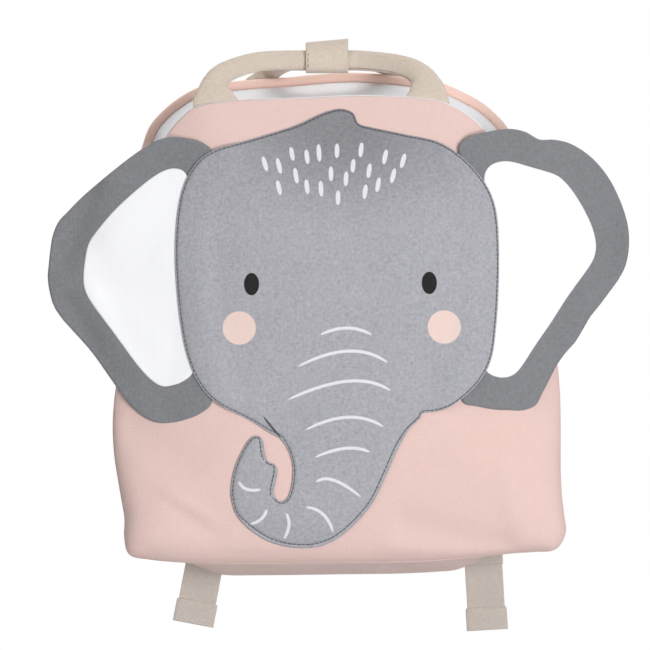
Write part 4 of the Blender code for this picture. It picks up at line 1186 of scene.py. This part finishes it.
# Down is a share of the strap's length, stand of the room for an arm, out of the way from the
# top's place across to the ring's, breadth of the width and pad of the thickness.
STRAP_SECTIONS = (
    # down, stand, out, breadth, pad
    (0, 0, 0, 1, 0.7), (0.07, 0.01, 0.02, 1, 1), (0.22, 0.42, 0.22, 1, 1),
    (0.4, 0.85, 0.52, 1, 1), (0.6, 1, 0.8, 0.96, 1), (0.78, 0.96, 0.95, 0.84, 1),
    (0.9, 0.86, 1, 0.62, 0.6), (0.96, 0.8, 1, 0.53, 0.34),
)

back_top = back_high.z - 0.0050
back_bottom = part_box("back_panel")[0].z
back_face = back_high.y
bar_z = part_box("strap_ring_left")[1].z - RING_BAR / 2 - 0.0006
low_bar_z = bar_z - RING_WINDOW - RING_BAR
corner = RING_BAR * math.sqrt(0.5)


def slab(line, across, breadth, cloth, columns=31, crown=6.0, border=0.0, dent=0.0):
    """Sections of a soft slab along a line: over its breadth the thickness is a flattened arch,
    with a dent along each border where it is topstitched; front and back are mirrored."""
    across, off = ways_at(line, across)
    s = np.sin(np.linspace(-1, 1, columns) * math.pi / 2)
    arch = 0.26 + 0.74 * np.sqrt(1 - np.abs(s) ** crown)
    breadth, cloth = np.reshape(breadth, (-1, 1)), np.reshape(cloth, (-1, 1))
    inset = (1 - np.abs(s)) * breadth / 2
    line_dent = np.exp(-((inset - border) / 0.0009) ** 2) * dent
    half = cloth / 2 * arch - np.minimum(line_dent, cloth * 0.2)
    flat = line[:, None] + across[:, None] * (breadth / 2 * s)[..., None]
    upper = flat + off[:, None] * half[..., None]
    lower = (flat - off[:, None] * half[..., None])[:, ::-1]
    return np.concatenate((upper, lower), axis=1), upper, off


def filled(made, held, pressure, growth, cap, frames=18):
    """Fill a sewn pad: Blender's cloth with air pressure, its held points pinned and its cloth
    grown a little, as canvas that is eased onto foam. The result goes into the mesh, and no point
    moves further than the cap."""
    made.vertex_groups.new(name="held").add(held.tolist(), 1.0, "REPLACE")
    cloth = made.modifiers.new("filling", "CLOTH")
    cloth.settings.quality = 6
    cloth.settings.mass = 0.1
    cloth.settings.bending_stiffness = 0.05
    cloth.settings.use_pressure = True
    cloth.settings.uniform_pressure_force = pressure
    cloth.settings.effector_weights.gravity = 0
    cloth.settings.vertex_group_mass = "held"
    cloth.settings.shrink_min = -growth
    cloth.point_cache.frame_end = frames
    for number in range(1, frames + 1):
        bpy.context.scene.frame_set(number)
    evaluated = made.evaluated_get(bpy.context.evaluated_depsgraph_get())
    count = len(made.data.vertices)
    before, after = np.empty(count * 3), np.empty(count * 3)
    made.data.vertices.foreach_get("co", before)
    evaluated.data.vertices.foreach_get("co", after)
    move = (after - before).reshape(-1, 3)
    far = np.linalg.norm(move, axis=1)
    move *= np.minimum(1, cap / np.maximum(far, 1e-9))[:, None]
    made.modifiers.remove(cloth)
    made.data.vertices.foreach_set("co", before + move.ravel())
    made.data.update()
    bpy.context.scene.frame_set(1)


webbing_cloth = woven("beige cotton webbing", WEBBING, WEBBING_SHADE, thread=RIB,
                      relief=0.00025, slub=0.15, by_uv=True)
plastic = speckled("moulded acetal", "C4BAAD", "CEC5B8", 700.0, 3.0, 0.38, 0.00004)


def round_bar(y, z, radius, start, stop, count=28):
    """Arc of y and z round a bar of the ring, between two angles in degrees."""
    turn = np.radians(np.linspace(start, stop, count))
    return np.column_stack((y + radius * np.cos(turn), z + radius * np.sin(turn)))


def hung(x, y, z):
    """Points x aside of the webbing, which leans from its tail's place on the back's edge."""
    return np.column_stack((edge_x + lean * (back_bottom - z) + x, np.broadcast_to(y, z.shape), z))


for side, sign in (("left", -1), ("right", 1)):
    edge_x = BODY_MIDDLE[0] + TAIL_SHIFT + sign * TAIL_SPREAD / 2
    lean = sign * TAIL_LEANS[side]
    top_x = BODY_MIDDLE[0] + sign * STRAP_SPREAD / 2
    ring_x = edge_x + lean * (back_bottom - bar_z)

    rows = even(STRAP_SECTIONS, 0.006, closed=False)
    read = np.linspace(0, 1, 220)
    down, stand, out, breadth, pad = (np.interp(read, np.linspace(0, 1, len(rows)), column)
                                      for column in rows.T)
    hem = WEBBING_CLOTH * 1.5
    strap = np.column_stack((
        top_x + (ring_x - top_x) * out,
        back_face + GAP + pad * STRAP_PAD / 2 + stand * STRAP_STAND,
        back_top - STRAP_TOP_DROP - down * STRAP_LENGTH))
    ring_y = strap[-1, 1] - corner - GAP - hem / 2
    fold = round_bar(ring_y, bar_z, corner + GAP + hem / 2, 0, -190)
    fold = np.vstack((fold, fold[-1] + (-0.0005, STRAP_LENGTH * 0.05)))
    fold = hung(0, *fold.T)
    line = np.vstack((strap, fold[1:]))
    wide = np.concatenate((breadth * STRAP_WIDTH, np.full(len(fold) - 1, WEBBING_WIDTH)))
    thick = np.concatenate((pad * STRAP_PAD, np.full(len(fold) - 1, hem)))
    ripple = 1 + 0.05 * np.sin(np.arange(len(line)) * 0.21) * (thick > 0.004)
    sections, upper, off = slab(line, np.array((1.0, 0, 0)), wide, thick * ripple,
                                border=STRAP_BORDER, dent=0.0010)
    pad_piece = tube_piece("strap_pad_" + side, sections, pink_by_uv)
    row, column = np.divmod(np.arange(sections.shape[0] * sections.shape[1]), sections.shape[1])
    sewn_columns = (3, 27, 34, 58)
    free = (row > 8) & (row < 190) & ~np.isin(column, sewn_columns) & (column % 31 > 2)
    filled(pad_piece, np.flatnonzero(~free), 4.0, 0.05, 0.0012)
    dress(pad_piece, "shoulder_strap_" + side)
    for name, column in (("inner", 3), ("outer", 27)):
        body = slice(6, 196)
        edge_line = upper[body, column]
        stitches(f"strap_stitches_{side}_{name}", edge_line, off[body], TOPSTITCH,
                 pink_thread)

    turn = np.linspace(0, 2 * math.pi, 97)[:-1]
    half_x = WEBBING_WIDTH / 2 + RING_ROOM + RING_BAR / 2
    half_z = (RING_WINDOW + RING_BAR) / 2
    middle_z = (bar_z + low_bar_z) / 2
    aside, up = squared(turn, 0.16)
    z, x = middle_z + half_z * up, half_x * aside
    loop = hung(x, ring_y, z)
    wrapped = np.vstack((loop[-2:], loop, loop[:2]))
    bar = tube(wrapped, np.array((0.0, 1.0, 0.0)), RING_BAR, RING_BAR, 16, 2.6)[2:-2]
    faces = grid_faces(96, 16, round_rows=True, round_columns=True)
    ring = piece("strap_slide_" + side, bar.reshape(-1, 3), faces, plastic)
    face_out(ring)
    dress(ring, "strap_ring_" + side)

    flat_y = back_face + GAP + WEBBING_CLOTH / 2
    hug = corner + GAP + WEBBING_CLOTH / 2
    tail_y = ring_y + hug
    end = back_bottom - TAIL_DROP - TAIL_EXTRAS[side]
    sewn = np.array(((flat_y, back_bottom + ANCHOR_RISE * 0.2),
                     (flat_y, back_bottom + ANCHOR_RISE * 0.9)))
    arc = round_bar(ring_y, low_bar_z, hug, 200, -10)
    tail = np.array(((tail_y, low_bar_z - 2 * RING_BAR), (tail_y, back_bottom),
                     (tail_y + 0.0006, (back_bottom + end) / 2), (tail_y, end + TAIL_HEM),
                     (tail_y, end)))
    plan = np.vstack((sewn, arc, tail))
    line = hung(0, *plan.T)
    steps = metres_along(line)
    hem_step = steps[-2] + (-0.0003, 0.0003)
    fine = np.unique(np.concatenate((np.linspace(0, steps[-1], 240), hem_step)))
    line = read_at(fine, steps, line)
    hemmed = ease((fine - steps[-2]) / 0.0006)
    wide = WEBBING_WIDTH + 2 * TAIL_HEM_SPARE * hemmed
    thick = WEBBING_CLOTH * (1 + 1.2 * hemmed)
    sections, upper, off = slab(line, np.array((1.0, 0, 0)), wide, thick, crown=10.0)
    webbing = tube_piece("strap_webbing_" + side, sections, webbing_cloth)
    dress(webbing, "webbing_" + side)
    for name, drop in (("upper", 0.0018), ("lower", TAIL_HEM - 0.0025)):
        x = np.linspace(-0.44, 0.44, 60) * WEBBING_WIDTH
        z = np.full(60, end + TAIL_HEM - drop)
        for face, way in (("front", -1), ("back", 1)):
            stitches(f"hem_stitches_{side}_{name}_{face}",
                     hung(x, tail_y + way * WEBBING_CLOTH * 1.06, z), (0, way, 0), HEM_STITCH,
                     beige_thread)
